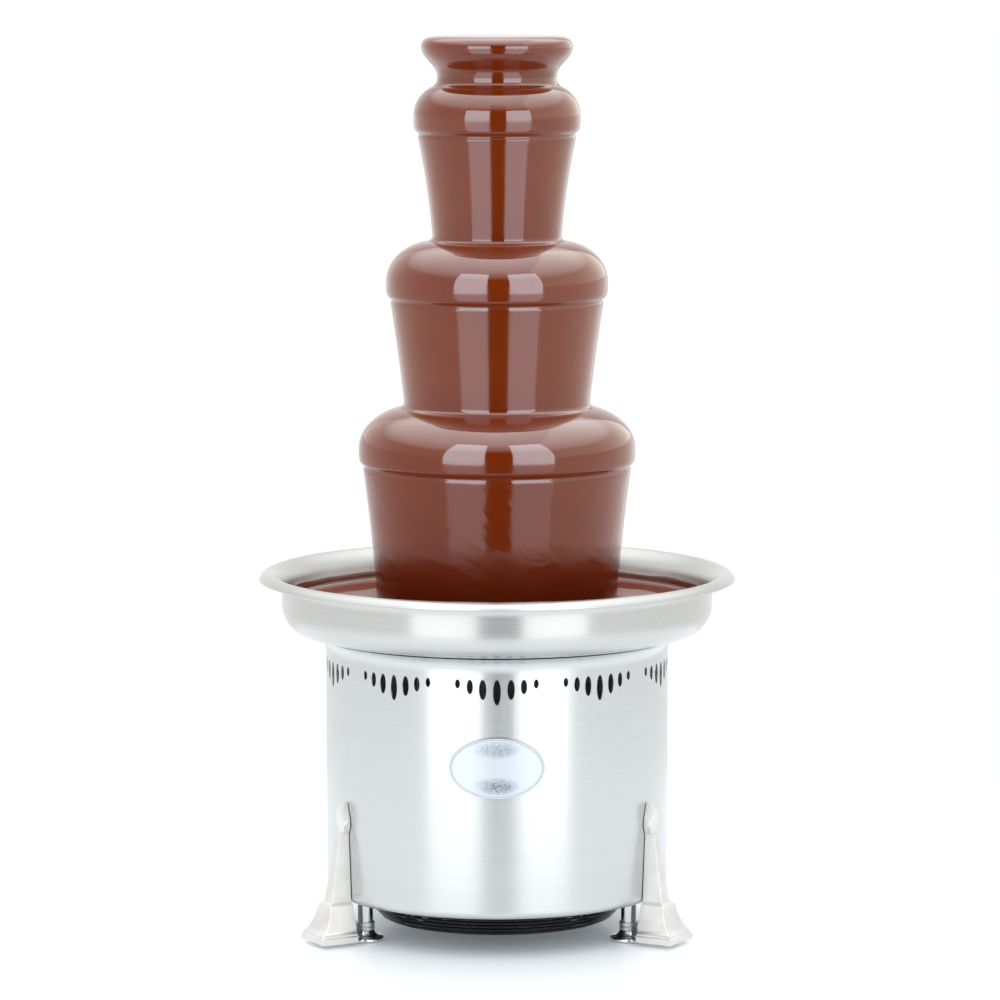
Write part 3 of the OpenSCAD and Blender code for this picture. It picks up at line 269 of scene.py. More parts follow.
class Flow:
    """A value that flows through a finish; an expression on flows adds Math nodes."""

    def __init__(self, finish, socket):
        self.finish, self.socket = finish, socket

    def maths(self, operation, first, second=0.0):
        return self.finish.node("ShaderNodeMath", {"operation": operation}, {0: first, 1: second})

    def __add__(self, other): return self.maths("ADD", self, other)
    def __radd__(self, other): return self.maths("ADD", other, self)
    def __sub__(self, other): return self.maths("SUBTRACT", self, other)
    def __rsub__(self, other): return self.maths("SUBTRACT", other, self)
    def __mul__(self, other): return self.maths("MULTIPLY", self, other)
    def __rmul__(self, other): return self.maths("MULTIPLY", other, self)
    def __truediv__(self, other): return self.maths("DIVIDE", self, other)
    def __rtruediv__(self, other): return self.maths("DIVIDE", other, self)
    def __pow__(self, other): return self.maths("POWER", self, other)


class Finish:
    """The nodes of one finish."""

    def __init__(self, owner):
        self.owner = owner
        owner.use_nodes = True
        self.tree = owner.node_tree
        self.shader = self.tree.nodes.get("Principled BSDF")

    def node(self, kind, settings={}, inputs={}, output=0):
        made = self.tree.nodes.new(kind)
        for name, value in settings.items():
            setattr(made, name, value)
        for name, value in inputs.items():
            self.feed(made.inputs[name], value)
        return Flow(self, made.outputs[output])

    def feed(self, socket, value):
        if isinstance(value, Flow):
            self.tree.links.new(value.socket, socket)
        else:
            socket.default_value = value

    def surface(self, **inputs):
        for name, value in inputs.items():
            self.feed(self.shader.inputs[name.replace("_", " ")], value)
        return self.owner

    def where(self, kind="Object"):
        """Object coordinates, or those of another kind."""
        return self.node("ShaderNodeTexCoord", output=kind)

    def axis(self, whole, number):
        """The x, y or z of coordinates."""
        return self.node("ShaderNodeSeparateXYZ", {}, {0: whole}, output=number)

    def coordinates(self):
        """Object coordinates: the whole, and x, y and z."""
        whole = self.where()
        return whole, *(self.axis(whole, number) for number in range(3))

    def absolute(self, value):
        return self.node("ShaderNodeMath", {"operation": "ABSOLUTE"}, {0: value})

    def point(self, x, y, z):
        return self.node("ShaderNodeCombineXYZ", {}, {0: x, 1: y, 2: z})

    def noise(self, where, scale, detail=3.0, rough=0.5):
        return self.node("ShaderNodeTexNoise", {}, {"Vector": where, "Scale": scale,
                         "Detail": detail, "Roughness": rough}, output="Fac")

    def fit(self, value, low, high, to_low, to_high):
        return self.node("ShaderNodeMapRange", {"clamp": True}, {"Value": value, "From Min": low,
                         "From Max": high, "To Min": to_low, "To Max": to_high})

    def blend(self, share, first, second):
        """A colour between two colours."""
        inputs = {0: share, 6: first, 7: second}
        return self.node("ShaderNodeMix", {"data_type": "RGBA"}, inputs, output=2)

    def bump(self, height, depth, strength):
        inputs = {"Height": height, "Distance": depth, "Strength": strength}
        return self.node("ShaderNodeBump", {}, inputs)


def finish(name):
    return Finish(bpy.data.materials.new(name))


def rgb(r, g, b):
    """A colour as a screen shows it, made linear."""
    return tuple((c / 255 / 12.92) if c < 11 else ((c / 255 + 0.055) / 1.055) ** 2.4
                 for c in (r, g, b)) + (1.0,)


def tone(colour, share):
    return tuple(c * share for c in colour[:3]) + (1.0,)


def brushed_steel(name, colour, rough, grain, spread=0.75, smudge=0.05):
    """Sheet brushed round the axis: fine lines, faint smudges and a stretched shine."""
    f = finish(name)
    whole, x, y, z = f.coordinates()
    out = (x * x + y * y) ** 0.5
    rise = z * 2.2 + out
    lines = f.noise(f.point(x * 5.0, y * 5.0, rise * grain), 1.0, 4.0, 0.65)
    bands = f.noise(f.point(x * 3.0, y * 3.0, rise * (grain * 0.11)), 1.0, 2.0)
    hands = f.noise(whole, 14.0, 3.0)
    shade = f.fit(lines * 0.7 + bands * 0.3, 0.3, 0.7, 0.0, 1.0)
    return f.surface(
        Base_Color=f.blend(shade, tone(colour, 0.965), tone(colour, 1.03)),
        Metallic=1.0, Anisotropic=spread, Anisotropic_Rotation=0.25,
        Roughness=(f.fit(lines, 0.3, 0.7, rough - 0.05, rough + 0.05)
                   + f.fit(hands, 0.4, 0.75, 0.0, smudge)),
        Normal=f.bump(lines, 0.00002, 0.2))


def turned_metal(name, colour, rough, grain=1500.0, dull=0.06):
    """Metal with tool marks round the axis and a little tarnish."""
    f = finish(name)
    whole, x, y, z = f.coordinates()
    marks = f.noise(f.point(x * 30.0, y * 30.0, z * grain), 1.0, 3.0)
    stain = f.noise(whole, 60.0, 4.0)
    return f.surface(
        Base_Color=f.blend(f.fit(stain, 0.4, 0.75, 0.0, 1.0), colour, tone(colour, 0.8)), Metallic=1.0,
        Roughness=(f.fit(marks, 0.3, 0.7, rough - 0.04, rough + 0.04)
                   + f.fit(stain, 0.45, 0.8, 0.0, dull)),
        Normal=f.bump(marks, 0.00002, 0.25))


def cast_metal(name, colour, rough, pits, metallic=1.0, depth=0.00008):
    """Cast skin: soft orange peel, fine grain and worn tones."""
    f = finish(name)
    whole = f.where()
    peel = f.noise(whole, pits, 3.0)
    grain = f.noise(whole, pits * 6.0, 2.0)
    wear = f.noise(whole, pits * 0.12, 3.0)
    return f.surface(
        Base_Color=f.blend(f.fit(wear, 0.35, 0.7, 0.0, 1.0), tone(colour, 0.94), tone(colour, 1.03)),
        Metallic=metallic, Roughness=f.fit(peel, 0.3, 0.7, rough - 0.05, rough + 0.06),
        Normal=f.bump(peel * 0.7 + grain * 0.3, depth, 0.5))


def moulded(name, colour, rough, grain=1800.0, coat=0.0):
    """Moulded plastic with a fine texture and faint dust."""
    f = finish(name)
    whole = f.where()
    skin = f.noise(whole, grain, 2.0)
    dust = f.noise(whole, 55.0, 4.0)
    return f.surface(
        Base_Color=f.blend(f.fit(dust, 0.45, 0.8, 0.0, 0.35), colour, tone(colour, 1.6)),
        Roughness=(f.fit(skin, 0.3, 0.7, rough - 0.05, rough + 0.05)
                   + f.fit(dust, 0.5, 0.8, 0.0, 0.1)),
        Coat_Weight=coat, Normal=f.bump(skin, 0.00004, 0.4))


def striped(name, colour, dark, pitch, rough, depth):
    """Layers of wire or sheet, one above the other."""
    f = finish(name)
    whole = f.where()
    half = pitch / 2
    layer = f.node("ShaderNodeMath", {"operation": "PINGPONG"}, {0: f.axis(whole, 2), 1: half}) / half
    tint = f.noise(whole, 90.0, 3.0)
    return f.surface(
        Base_Color=f.blend(f.fit(layer + tint * 0.4, 0.1, 0.9, 0.0, 1.0), dark, colour), Metallic=0.9,
        Roughness=f.fit(tint, 0.3, 0.7, rough - 0.06, rough + 0.08), Normal=f.bump(layer, depth, 0.8))


def milk_chocolate():
    """Warm chocolate: smooth and wet where it lies, softer and folded where it falls, and darker low on the
    curtains as painted shade from the basin.
    """
    f = finish("milk_chocolate")
    whole, x, y, z = f.coordinates()
    lying = f.fit(f.axis(f.where("Normal"), 2), -0.07, 0.12, 0.0, 1.0)
    falling = 1 - lying
    swirl = f.noise(whole, 13.0, 4.0, 0.55)
    fold = f.noise(f.point(x * 0.5, y * 0.5, z * 1.1 + x * 0.45), 46.0, 2.0, 0.4)
    edge = f.absolute(fold - 0.5)
    fine = f.noise(f.point(x * 3.0, y * 3.0, z * 0.6), 60.0, 3.0)
    lowest = f.fit(z, 0.298, 0.302, 1.0, 0.12)
    runs = f.fit(swirl, 0.36, 0.6, 0.2, 1.0) * falling * lowest
    height = (fold + f.fit(edge, 0.0, 0.09, 0.22, 0.0)) * runs + fine * 0.02 + swirl * 0.06
    # Painted shade: the curtains grow darker towards the pool, where the basin shades them.
    painted_basin_shade = f.fit(z, 0.22, 0.262, 1.0, 0.0) * falling
    low = f.fit(z, 0.242, 0.28, 0.06, 0.0) * falling
    mixed = f.fit(swirl * 0.6 + fold * 0.4, 0.3, 0.7, 0.0, 1.0)
    brown = f.blend(mixed, rgb(111, 39, 6), rgb(119, 46, 9))
    return f.surface(
        Base_Color=f.blend(painted_basin_shade, brown, rgb(66, 13, 0)),
        Roughness=f.fit(fine, 0.3, 0.7, 0.04, 0.065) + 0.06 * falling + low, IOR=1.46,
        Coat_Weight=0.1, Coat_Roughness=0.04,
        Subsurface_Weight=0.08, Subsurface_Radius=(0.004, 0.0016, 0.0008),
        Normal=f.bump(height, 0.002, 0.2))


chocolate = milk_chocolate()
housing_steel = brushed_steel("housing_steel", rgb(209, 212, 212), 0.3, 1500.0)
basin_steel = brushed_steel("basin_steel", rgb(203, 204, 202), 0.27, 1200.0, 0.85)
sheet_steel = brushed_steel("sheet_steel", rgb(176, 178, 180), 0.38, 700.0, 0.5, 0.1)
# Painted shade: the deck inside the housing is steel made dark grey, for the dark inside seen through the
# vents.
painted_shade_deck = brushed_steel("painted_shade_deck", rgb(66, 66, 68), 0.5, 700.0, 0.4, 0.1)
auger_steel = turned_metal("auger_steel", rgb(205, 206, 208), 0.2)
machined_steel = turned_metal("machined_steel", rgb(190, 190, 192), 0.26, 2400.0)
foot_chrome = turned_metal("foot_chrome", rgb(214, 217, 221), 0.08, 1200.0, 0.05)
zinc = turned_metal("zinc", rgb(196, 199, 200), 0.3, 1800.0, 0.1)
satin_nickel = cast_metal("satin_nickel", rgb(231, 229, 226), 0.4, 900.0, 0.85)
cast_alloy = cast_metal("cast_alloy", rgb(168, 170, 174), 0.5, 500.0)
motor_iron = striped("motor_iron", rgb(110, 112, 118), rgb(58, 60, 66), 0.0009, 0.5, 0.0001)
copper_wire = striped("copper_wire", rgb(196, 116, 62), rgb(104, 50, 22), 0.0011, 0.32, 0.0003)
element_metal = cast_metal("element_metal", rgb(92, 88, 86), 0.55, 700.0)
guard_black = cast_metal("guard_black", rgb(10, 11, 13), 0.34, 1400.0, 0.0, 0.00004)
fan_plastic = moulded("fan_plastic", rgb(30, 31, 34), 0.45)
device_plastic = moulded("device_plastic", rgb(22, 22, 24), 0.4)
rocker_black = moulded("rocker_black", rgb(20, 20, 21), 0.28, 2600.0, 0.2)
rocker_red = moulded("rocker_red", rgb(168, 24, 20), 0.26, 2600.0, 0.3)
knob_black = moulded("knob_black", rgb(26, 26, 28), 0.36, 1500.0)
lamp_red = moulded("lamp_red", rgb(196, 40, 26), 0.12, 600.0, 0.6)
seal_rubber = moulded("seal_rubber", rgb(40, 40, 42), 0.62, 900.0)
wire_sleeve = moulded("wire_sleeve", rgb(206, 202, 192), 0.5, 1200.0)


def name_plate_silver():
    """Antique silver: a satin field with two speckled patches that are painted reflection of the dark slot,
    darker beside and outside the rim.
    """
    f = finish("plate_silver")
    whole, x, y, z = f.coordinates()
    specks = f.noise(whole, 1100.0, 3.0, 0.6)
    cloud = f.noise(f.point(x * 0.6, y, z * 1.4), 75.0, 3.0)
    wide = x / (PLATE_HALF[0] * MM)
    high = (z - PLATE_Z * MM) / (PLATE_HALF[1] * MM)
    out = (high * high + wide * wide) ** 0.5
    groove = f.fit(out, 0.93, 0.944, 0.0, 1.0) * f.fit(out, 0.948, 0.96, 1.0, 0.0)
    brink = f.fit(out, 0.982, 0.996, 0.0, 1.0)
    upper, lower = high - 0.62, high + 0.58
    # Painted reflection: two speckled dark patches above and below the middle stand for the dark slot seen in
    # the silver.
    slot_reflection = [f.fit(wide * wide * 4.5 + side * side * 11.0, 0.2, 1.1, 1.0, 0.0)
            for side in (upper, lower)]
    dark = f.fit(specks * 0.7 + cloud * 0.3, 0.42, 0.62, 0.2, 1.0) * (slot_reflection[0] * 0.8 + slot_reflection[1])
    return f.surface(
        Base_Color=f.blend(dark * 0.8 + groove * 0.6 + brink * 0.5,
                           rgb(217, 225, 233), rgb(88, 102, 116)),
        Metallic=0.75, Roughness=f.fit(specks, 0.3, 0.7, 0.34, 0.44), Normal=f.bump(specks, 0.00003, 0.25))


plate_silver = name_plate_silver()


# Base: housing, legs, feet and nameplate

def vent_cutters():
    """Groups of seven upright oval vents, longest in the middle."""
    cutters = []
    for away, width, height in VENTS:
        line = [(x, -HOUSING_R - 6, z)
                for x, z in oval((0, VENT_TOP_Z - height / 2), width / 2, height / 2, 0, 345, 23)]
        vent = prism("vent", line, (0, 12, 0))
        for side in ((1, -1) if away else (1,)):
            for group in range(VENT_GROUPS):
                turn = group * 360 / VENT_GROUPS + side * math.degrees(away / HOUSING_R)
                cutters.append(settle(copy_of(vent, "vent"), turn=(0, 0, turn)))
        bpy.data.objects.remove(vent)
    return cutters


def housing():
    """The shell: rounded foot, straight wall and a flare that ends in a fine edge under the basin."""
    corner = (HOUSING_R - HOUSING_FOOT_R, HOUSING_FOOT_Z + HOUSING_FOOT_R)
    flare = (HOUSING_R + FLARE_R, FLARE_Z)
    outside = arc(corner, HOUSING_FOOT_R, -90, 0, 10) + arc(flare, FLARE_R, 180, 106, 16)
    inside = arc(corner, HOUSING_FOOT_R - HOUSING_WALL, -90, 0, 10)
    inside += arc(flare, FLARE_R + HOUSING_WALL, 180, 120, 12)
    shell = turned("housing", outside + inside[::-1], 256)
    wide, high = TRAY_HALF
    frame_line = [(x * wide, TRAY_Y, TRAY_Z + z * high) for x, z in ((-1, -1), (1, -1), (1, 1), (-1, 1))]
    cutters = vent_cutters() + [prism("opening", frame_line, (0, 18, 0))]
    hole = prism("hole", [(x, -118, z) for x, z in arc((0, 0), 2.2, 0, 345, 23)], (0, 16, 0))
    for turn in CORNERS.values():
        for height in LEG_SCREWS_Z:
            cutters.append(settle(copy_of(hole, "hole"), turn=(0, 0, turn)))
            settle(cutters[-1], (0, 0, height))
    bpy.data.objects.remove(hole)
    return cut(shell, joined("cutters", cutters))


place(housing(), "base", "housing_steel", housing_steel, "housing_shell")


def follow(line, z):
    """The first coordinate of a line of points at height z."""
    for (a, low), (b, high) in zip(line, line[1:]):
        if low <= z <= high + 1e-9:
            return a + (b - a) * (z - low) / max(high - low, 1e-9)
    return line[-1][0]


def leg(name, turn):
    """A cast bracket: plinth, hollow bell, tapered shaft and spear finial.

    Each level has a height, half a width and a depth.
    """
    levels = [(2.5, 15.0, 25.7), (6.2, 15.0, 25.7), (6.9, 13.9, 24.6), (7.9, 13.9, 24.6),
              (8.6, 13.0, 23.7)]
    depth = bend((23.7, 8.6), (17.6, 14.5), (16.6, 26.0), 8)
    width = bend((13.0, 8.6), (9.2, 20.0), (8.2, 26.0), 8)
    for i in range(1, 9):
        z = 8.6 + 17.4 * i / 8
        levels.append((z, follow(width, z), follow(depth, z)))
    levels += [(28.0, 5.5, 14.0), (71.5, 2.5, 6.6), (72.1, 3.0, 4.4), (75.0, 4.0, 4.6),
               (77.5, 4.8, 5.0), (81.5, 4.2, 5.6), (87.5, 2.2, 6.6), (91.5, 1.2, 2.0)]
    z, half, painted_basin_shade = levels[0]
    bpy.ops.object.select_all(action="DESELECT")
    bpy.ops.mesh.primitive_plane_add(size=2 * MM)
    piece = bpy.context.object
    piece.name = piece.data.name = name
    bpy.ops.object.mode_set(mode="EDIT")
    bpy.ops.mesh.select_all(action="SELECT")
    bpy.ops.transform.resize(value=(half, painted_basin_shade / 2, 1))
    bpy.ops.transform.translate(value=(0, (-LEG_BACK - painted_basin_shade / 2) * MM, z * MM))
    for high, wide, far in levels[1:]:
        bpy.ops.mesh.extrude_region_move(TRANSFORM_OT_translate={"value": (0, 0, (high - z) * MM)})
        bpy.ops.transform.resize(value=(wide / half, far / painted_basin_shade, 1),
                                 center_override=(0, -LEG_BACK * MM, 0))
        z, half, painted_basin_shade = high, wide, far
    done(piece)
    edit(piece)
    bpy.ops.mesh.select_all(action="DESELECT")
    bpy.ops.object.mode_set(mode="OBJECT")
    points = piece.data.vertices
    for edge in piece.data.edges:
        a, b = (points[v].co for v in edge.vertices)
        upright = abs(a.z - b.z) > 0.3 * MM and max(a.z, b.z) < LEG_SHAFT_Z * MM
        edge.select = upright and max(a.y, b.y) < (-LEG_BACK - 1) * MM
    bpy.ops.object.mode_set(mode="EDIT")
    bpy.ops.mesh.select_mode(type="EDGE")
    bpy.ops.mesh.bevel(offset=1.9 * MM, segments=3, clamp_overlap=True)
    bpy.ops.mesh.select_mode(type="VERT")
    done(piece)
    rounded(piece, 0.45, 24, 30)
    return settle(piece, turn=(0, 0, turn))


for corner, turn in CORNERS.items():
    place(leg(f"{corner}_bracket", turn), "base", "satin_nickel", satin_nickel, f"{corner}_leg")


def foot(name, x, y):
    """A levelling foot: disc, hollow cup and stem."""
    disc = [(0, 0), (11.9, 0), (12.3, 0.25), (12.5, 0.8), (12.5, 2.2), (12.2, 2.7), (11.5, 2.95)]
    cup = bend((11.5, 2.95), (7.6, 3.4), (6.6, 6.2), 8)
    stem = [(6.45, 6.7), (6.1, 7.0), (5.25, 7.0), (5.25, 52.6), (4.9, 53.0), (0, 53.0)]
    return turned(name, disc + cup[1:] + stem, 48, (x, y), closed=False)


def lock_nut(name, x, y):
    """A slim round lock nut with a groove round its middle."""
    wall = [(5.31, 7.2), (6.0, 7.2), (6.35, 7.5), (6.35, 9.3), (6.1, 9.6), (6.1, 10.0),
            (6.35, 10.3), (6.35, 12.4), (6.0, 12.7), (5.31, 12.7)]
    return turned(name, wall, 48, (x, y))


for corner, turn in CORNERS.items():
    x = FOOT_CIRCLE * math.sin(math.radians(turn))
    y = -FOOT_CIRCLE * math.cos(math.radians(turn))
    body = FOOT_BODIES[corner]
    place(foot(f"{corner}_stem", x, y), body, "foot_chrome", foot_chrome, f"{corner}_foot")
    place(lock_nut(f"{corner}_lock_nut", x, y), body, "zinc", zinc, f"{corner}_foot_nut")


def rod(name, path, wire):
    """A wire that starts along X and follows a path in the XZ plane."""
    x, z = path[0]
    piece = thread(name, [(x, y, z + up) for y, up in arc((0, 0), wire, 0, 315, 7)])
    bpy.ops.mesh.select_all(action="SELECT")
    bpy.ops.mesh.edge_face_add()
    for (a, low), (b, high) in zip(path, path[1:]):
        step = ((b - a) * MM, 0, (high - low) * MM)
        bpy.ops.mesh.extrude_region_move(TRANSFORM_OT_translate={"value": step})
    return done(piece)


def wire_guard():
    """A dished wire guard: close rings on the slope, wider ones on the floor, spokes and a hub."""
    radius, height = GUARD_FLOOR
    places = [(radius + 2.67 * i, height + 2.73 * i) for i in range(7)]
    places += [(radius - 6.4 * i, height) for i in range(1, 10)]
    wires = [turned("ring", arc(centre, 0.9, 0, 315, 7), 128) for centre in places]
    spoke = rod("spoke", [(9, 11.5), (72, 11.5), (74.5, 12.2), (88.6, 26.6)], 1.0)
    for turn in range(0, 360, 30):
        wires.append(settle(copy_of(spoke, "spoke"), turn=(0, 0, turn + 15)))
    bpy.data.objects.remove(spoke)
    hub = [(0, 8.9), (9.6, 8.9), (10.6, 9.5), (10.6, 12.0), (9.8, 12.8), (0, 12.8)]
    wires.append(turned("hub", hub, 64, closed=False))
    return joined("wire_guard", wires)


place(wire_guard(), "base", "guard_black", guard_black, "fan_guard", "guard_side")


def nameplate():
    """A bare oval plate with a rounded rim and a crowned field, bent to the housing."""
    bpy.ops.object.select_all(action="DESELECT")
    bpy.ops.mesh.primitive_circle_add(vertices=96, radius=1, fill_type="NGON")
    piece = bpy.context.object
    piece.name = piece.data.name = "oval_plate"
    bpy.ops.object.mode_set(mode="EDIT")
    bpy.ops.mesh.select_all(action="SELECT")
    bpy.ops.transform.resize(value=(PLATE_HALF[0] * MM, PLATE_HALF[1] * MM, 1))
    rings = [(1.0, 1.0), (0.995, 1.5), (0.985, 1.7), (0.972, 1.75), (0.96, 1.7), (0.952, 1.52),
             (0.944, 1.35), (0.93, 1.3), (0.8, 1.4), (0.65, 1.52), (0.5, 1.6), (0.35, 1.66),
             (0.2, 1.69), (0.08, 1.7)]
    size, height = 1.0, 0.0
    for scale, lift in rings:
        step = (0, 0, (lift - height) * MM)
        bpy.ops.mesh.extrude_region_move(TRANSFORM_OT_translate={"value": step})
        bpy.ops.transform.resize(value=(scale / size, scale / size, 1), center_override=(0, 0, 0))
        size, height = scale, lift
    done(piece, 60)
    for point in piece.data.vertices:
        along, up, out = point.co
        radius = (HOUSING_R + 0.3) * MM + out
        turn = along / radius
        point.co = (radius * math.sin(turn), -radius * math.cos(turn), PLATE_Z * MM + up)
    return done(piece, 60)


place(nameplate(), "base", "plate_silver", plate_silver, "nameplate")


# Basin and chocolate

def basin():
    """A bowl with a round corner, a flared wall and a rolled rim."""
    flare, roll = (151.25, 222.5), (148.714, 227.938)
    outside, inside = ([(9, floor_z)] + arc(BASIN_CORNER, bowl_r, -90, 0, 14)
                       + arc(flare, flare_r, 180, 115, 12) + arc(roll, roll_r, 115, 20, 14)[1:]
                       for floor_z, bowl_r, flare_r, roll_r in ((BASIN_Z, 18, 11.25, 5.25),
                                                               (BASIN_FLOOR_Z, 16.5, 12.75, 6.75)))
    return turned("basin_bowl", outside + inside[::-1], 256)


place(basin(), "bowl", "basin_steel", basin_steel, "basin")


def pool():
    """Chocolate standing in the basin, with a wavy skin up the wall."""
    under = [(POOL_HOLE_R, BASIN_FLOOR_Z + 0.05)] + arc(BASIN_CORNER, 16.45, -90, 0, 12)
    skin = [(138.45, 219.2), (138.3, 219.7), (137.95, 219.8), (137.75, 219.4), (137.7, 218.0),
            (137.6, 216.2), (137.35, 215.2), (136.8, 214.5), (135.8, 214.15)]
    top = [(133, 214.03), (122, 213.9), (112, 213.95), (104, 214.05), (97, 214.0), (91, 213.9),
           (86, 214.0), (82.5, 214.25), (79.5, 214.4), (76, 214.2), (70, 213.9), (58, POOL_Z),
           (46, POOL_Z), (POOL_HOLE_R, POOL_Z)]
    piece = turned("pool", under + skin + eased(top, 2), 192)
    for point in piece.data.vertices:
        turn = math.atan2(point.co.y, point.co.x)
        wave = (0.5 * math.sin(5 * turn + 0.4) + 0.3 * math.sin(11 * turn + 1.7)
                + 0.2 * math.sin(23 * turn))
        share = min(max((point.co.z / MM - POOL_Z - 1.5) / 4, 0), 1)
        point.co.z += 1.1 * MM * wave * share
    return done(piece)


place(pool(), "bowl", "chocolate", chocolate, "basin_chocolate")


def dome_at(r, tier):
    """Height of a tier's coat at radius r."""
    edge, z, flat, rise = tier
    share = (max(r, flat) - flat) / (edge - flat)
    return z + rise * math.sqrt(max(0.0, 1 - share * share))


def coat(name, tier, radius, ground, bow):
    """Chocolate over a dome and its brim, and the curtain that falls from it to the ground below."""
    edge, z, flat, rise = tier
    dome = [(COAT_HOLE_R, z + rise)] + oval((flat, z), edge - flat, rise, 90, 0, 36)
    brim = [(edge, z - 2.5), (edge - 0.05, z - 5.0), (edge - 0.25, z - 7.2), (edge - 0.7, z - 8.8),
            (edge - 1.5, z - 9.9), (edge - 2.5, z - 10.7), (edge - 3.2, z - 11.3), (edge - 3.45, z - 12.0),
            (edge - 3.25, z - 12.8), (edge - 2.95, z - 13.4)]
    start = (edge - 2.9, z - 14.2)
    end = (radius, ground(radius) + 3.4)
    middle = ((start[0] + end[0]) / 2 - bow, (start[1] + end[1]) / 2)
    fall = bend(start, middle, end, 30)
    lip = [(radius + out, ground(radius + out) + up)
           for out, up in ((0.15, 2.3), (0.5, 1.35), (1.1, 0.75), (1.9, 0.4), (2.6, 0.1), (3.0, -0.15))]
    toe = [(radius - CURTAIN_WALL, ground(radius - CURTAIN_WALL) - 0.15)]
    back = [(r - CURTAIN_WALL, h) for r, h in fall[::-1]]
    under = [(edge - 3.6, z - 9.2), (edge - 2.2, z - 8.6)]
    under += oval((flat, z), edge - flat - COAT_WALL, rise - COAT_WALL, 0, 90, 24)
    hole = [(COAT_HOLE_R, z + rise - COAT_WALL)]
    return turned(name, dome + brim + fall + lip + toe + back + under + hole, 192)


for name, tier, radius, ground, bow in (("bottom", BOTTOM, 78.3, lambda r: POOL_Z + 0.15, 1.4),
                                        ("middle", MIDDLE, 60.4, lambda r: dome_at(r, BOTTOM), 0.8),
                                        ("top", TOP, 41.8, lambda r: dome_at(r, MIDDLE), 2.0)):
    place(coat(f"{name}_coat", tier, radius, ground, bow), f"tier_{name}", "chocolate", chocolate,
          f"{name}_chocolate")


def crown_cup_side():
    """The bare side of the crown under its coat: upright neck, flare and rolled lip."""
    neck = 38
    lip = arc((42.3, CUP_FLOOR_Z), 5, -20, 80, 16)
    return bend((neck, 556.1), (neck, 565.1), lip[0], 16) + lip[1:]


def crown():
    """Chocolate welling up in the crown and over its full, round lip."""
    outer = eased([(38.7, 554.6), (38.6, 556.5), (39.1, 558.9), (40.3, 561.6), (42.9, 564.6),
                   (45.6, 567.7), (47.8, 570.9), (48.9, 574.2), (48.8, 576.8), (47.7, 579.2),
                   (45.5, 580.8), (42.6, 581.7)], 3)
    bare = crown_cup_side()
    r, z = bare[-1]
    well = [(39.5, 582.1), (35, 582.3), (28, 582.4), (20, 582.45), (10, 582.5), (0, 582.5)]
    under = [(0, CUP_FLOOR_Z), (r - 2, CUP_FLOOR_Z), (r - 2, z)]
    rises = ((38, -0.15), (41.6, -0.15), (41.1, 0.2), (40.4, 0.55), (39.7, 1.0), (39.1, 1.8), (38.8, 2.8))
    lip = [(r, dome_at(r, TOP) + up) for r, up in rises]
    return turned("crown_coat", lip + outer + well + under + bare[::-1], 160)


place(crown(), "crown_cup", "chocolate", chocolate, "crown_chocolate")


# Rear controls

def knob():
    """A fluted knob on its stem, with a pointer rib."""
    profile = [(0, 0), (2.7, 0), (3.0, 0.3), (3.0, 16.3), (11.5, 16.3), (12.0, 16.8), (12.0, 18.0),
               (11.3, 18.8), (10.4, 19.4), (10.1, 20.4), (9.7, 28.6), (9.2, 29.6), (8.2, 30.1),
               (4, 30.2), (0, 30.2)]
    grip = turned("grip", profile, 144, closed=False)
    for point in grip.data.vertices:
        x, y, z = point.co
        if 19.9 * MM < z < 29.7 * MM:
            dip = 0.25 * MM * (1 + math.cos(KNOB_FLUTES * math.atan2(y, x))) / math.hypot(x, y)
            point.co.x, point.co.y = x * (1 - dip), y * (1 - dip)
    rib_line = [(-1.2, -9, 29.8), (1.2, -9, 29.8), (1.2, 7, 29.8), (-1.2, 7, 29.8)]
    rib = rounded(prism("rib", rib_line, (0, 0, 1.1)), 0.3)
    return settle(joined("fluted_knob", [grip, rib]), (KNOB_X, KNOB_Y, TRAY_Z), (-90, 0, 0))


def knob_line():
    """The line on the knob's rib that shows where it points."""
    line = [(x, y - 6.2, 30.8) for x, y in oval((0, 0), 0.4, 2.2, 0, 348, 29)]
    return settle(prism("knob_line", line, (0, 0, 0.18)), (KNOB_X, KNOB_Y, TRAY_Z), (-90, 0, 0))


def rocker(name, x):
    """A rocker with two dished faces, its upper end out."""
    side = arc((0, 0), 8, 55.4, 304.6, 30)
    middle = (3.36, 0)
    side += bend(side[-1], (3.6, -3.3), middle, 5)[1:] + bend(middle, (3.6, 3.3), side[0], 5)[1:-1]
    piece = rounded(prism(name, [(-5.5, y, z) for y, z in side], (11, 0, 0)), 0.4, 45)
    return settle(piece, (x, PIVOT_Y, TRAY_Z), (ROCKER_TIP, 0, 0))


def rocker_marks(name, x):
    """A bar on the upper face and a ring on the lower one."""
    line = [(x, y, 0) for x, y in oval((0, 0), 0.32, 1.5, 0, 348, 29)]
    bar = settle(prism("bar", line, (0, 0, 0.3)), (0, 3.7, 3.3), (-100.2, 0, 0))
    ring = turned("ring", [(1.05, 0), (1.55, 0), (1.55, 0.25), (1.45, 0.3), (1.15, 0.3), (1.05, 0.25)], 32)
    settle(ring, (0, 3.7, -3.3), (-79.8, 0, 0))
    return settle(joined(name, [bar, ring]), (x, PIVOT_Y, TRAY_Z), (ROCKER_TIP, 0, 0))


def lamp_lens():
    """A round lens in its collar, on a barrel through the tray."""
    collar = [(0, 0), (3.5, 0), (3.9, 0.4), (3.9, 14), (5.0, 14), (5.1, 14.1), (5.1, 14.6),
              (4.8, 15.0), (4.2, 15.1)]
    lens = arc((0, 15), 3.85, 8, 90, 12)
    return settle(turned("indicator_lens", collar + lens, 64, closed=False), LAMP_PLACE, (-90, 0, 0))


def panel_line(wide, high, y, lower, upper):
    """A rectangle that faces the rear, with round lower and upper corners."""
    line = []
    corners = ((1, 1, 0, upper), (-1, 1, 90, upper), (-1, -1, 180, lower), (1, -1, 270, lower))
    for across, up, start, r in corners:
        line += arc((across * (wide / 2 - r), up * (high / 2 - r)), r, start, start + 90, 6)
    return [(x, y, z) for x, z in line]


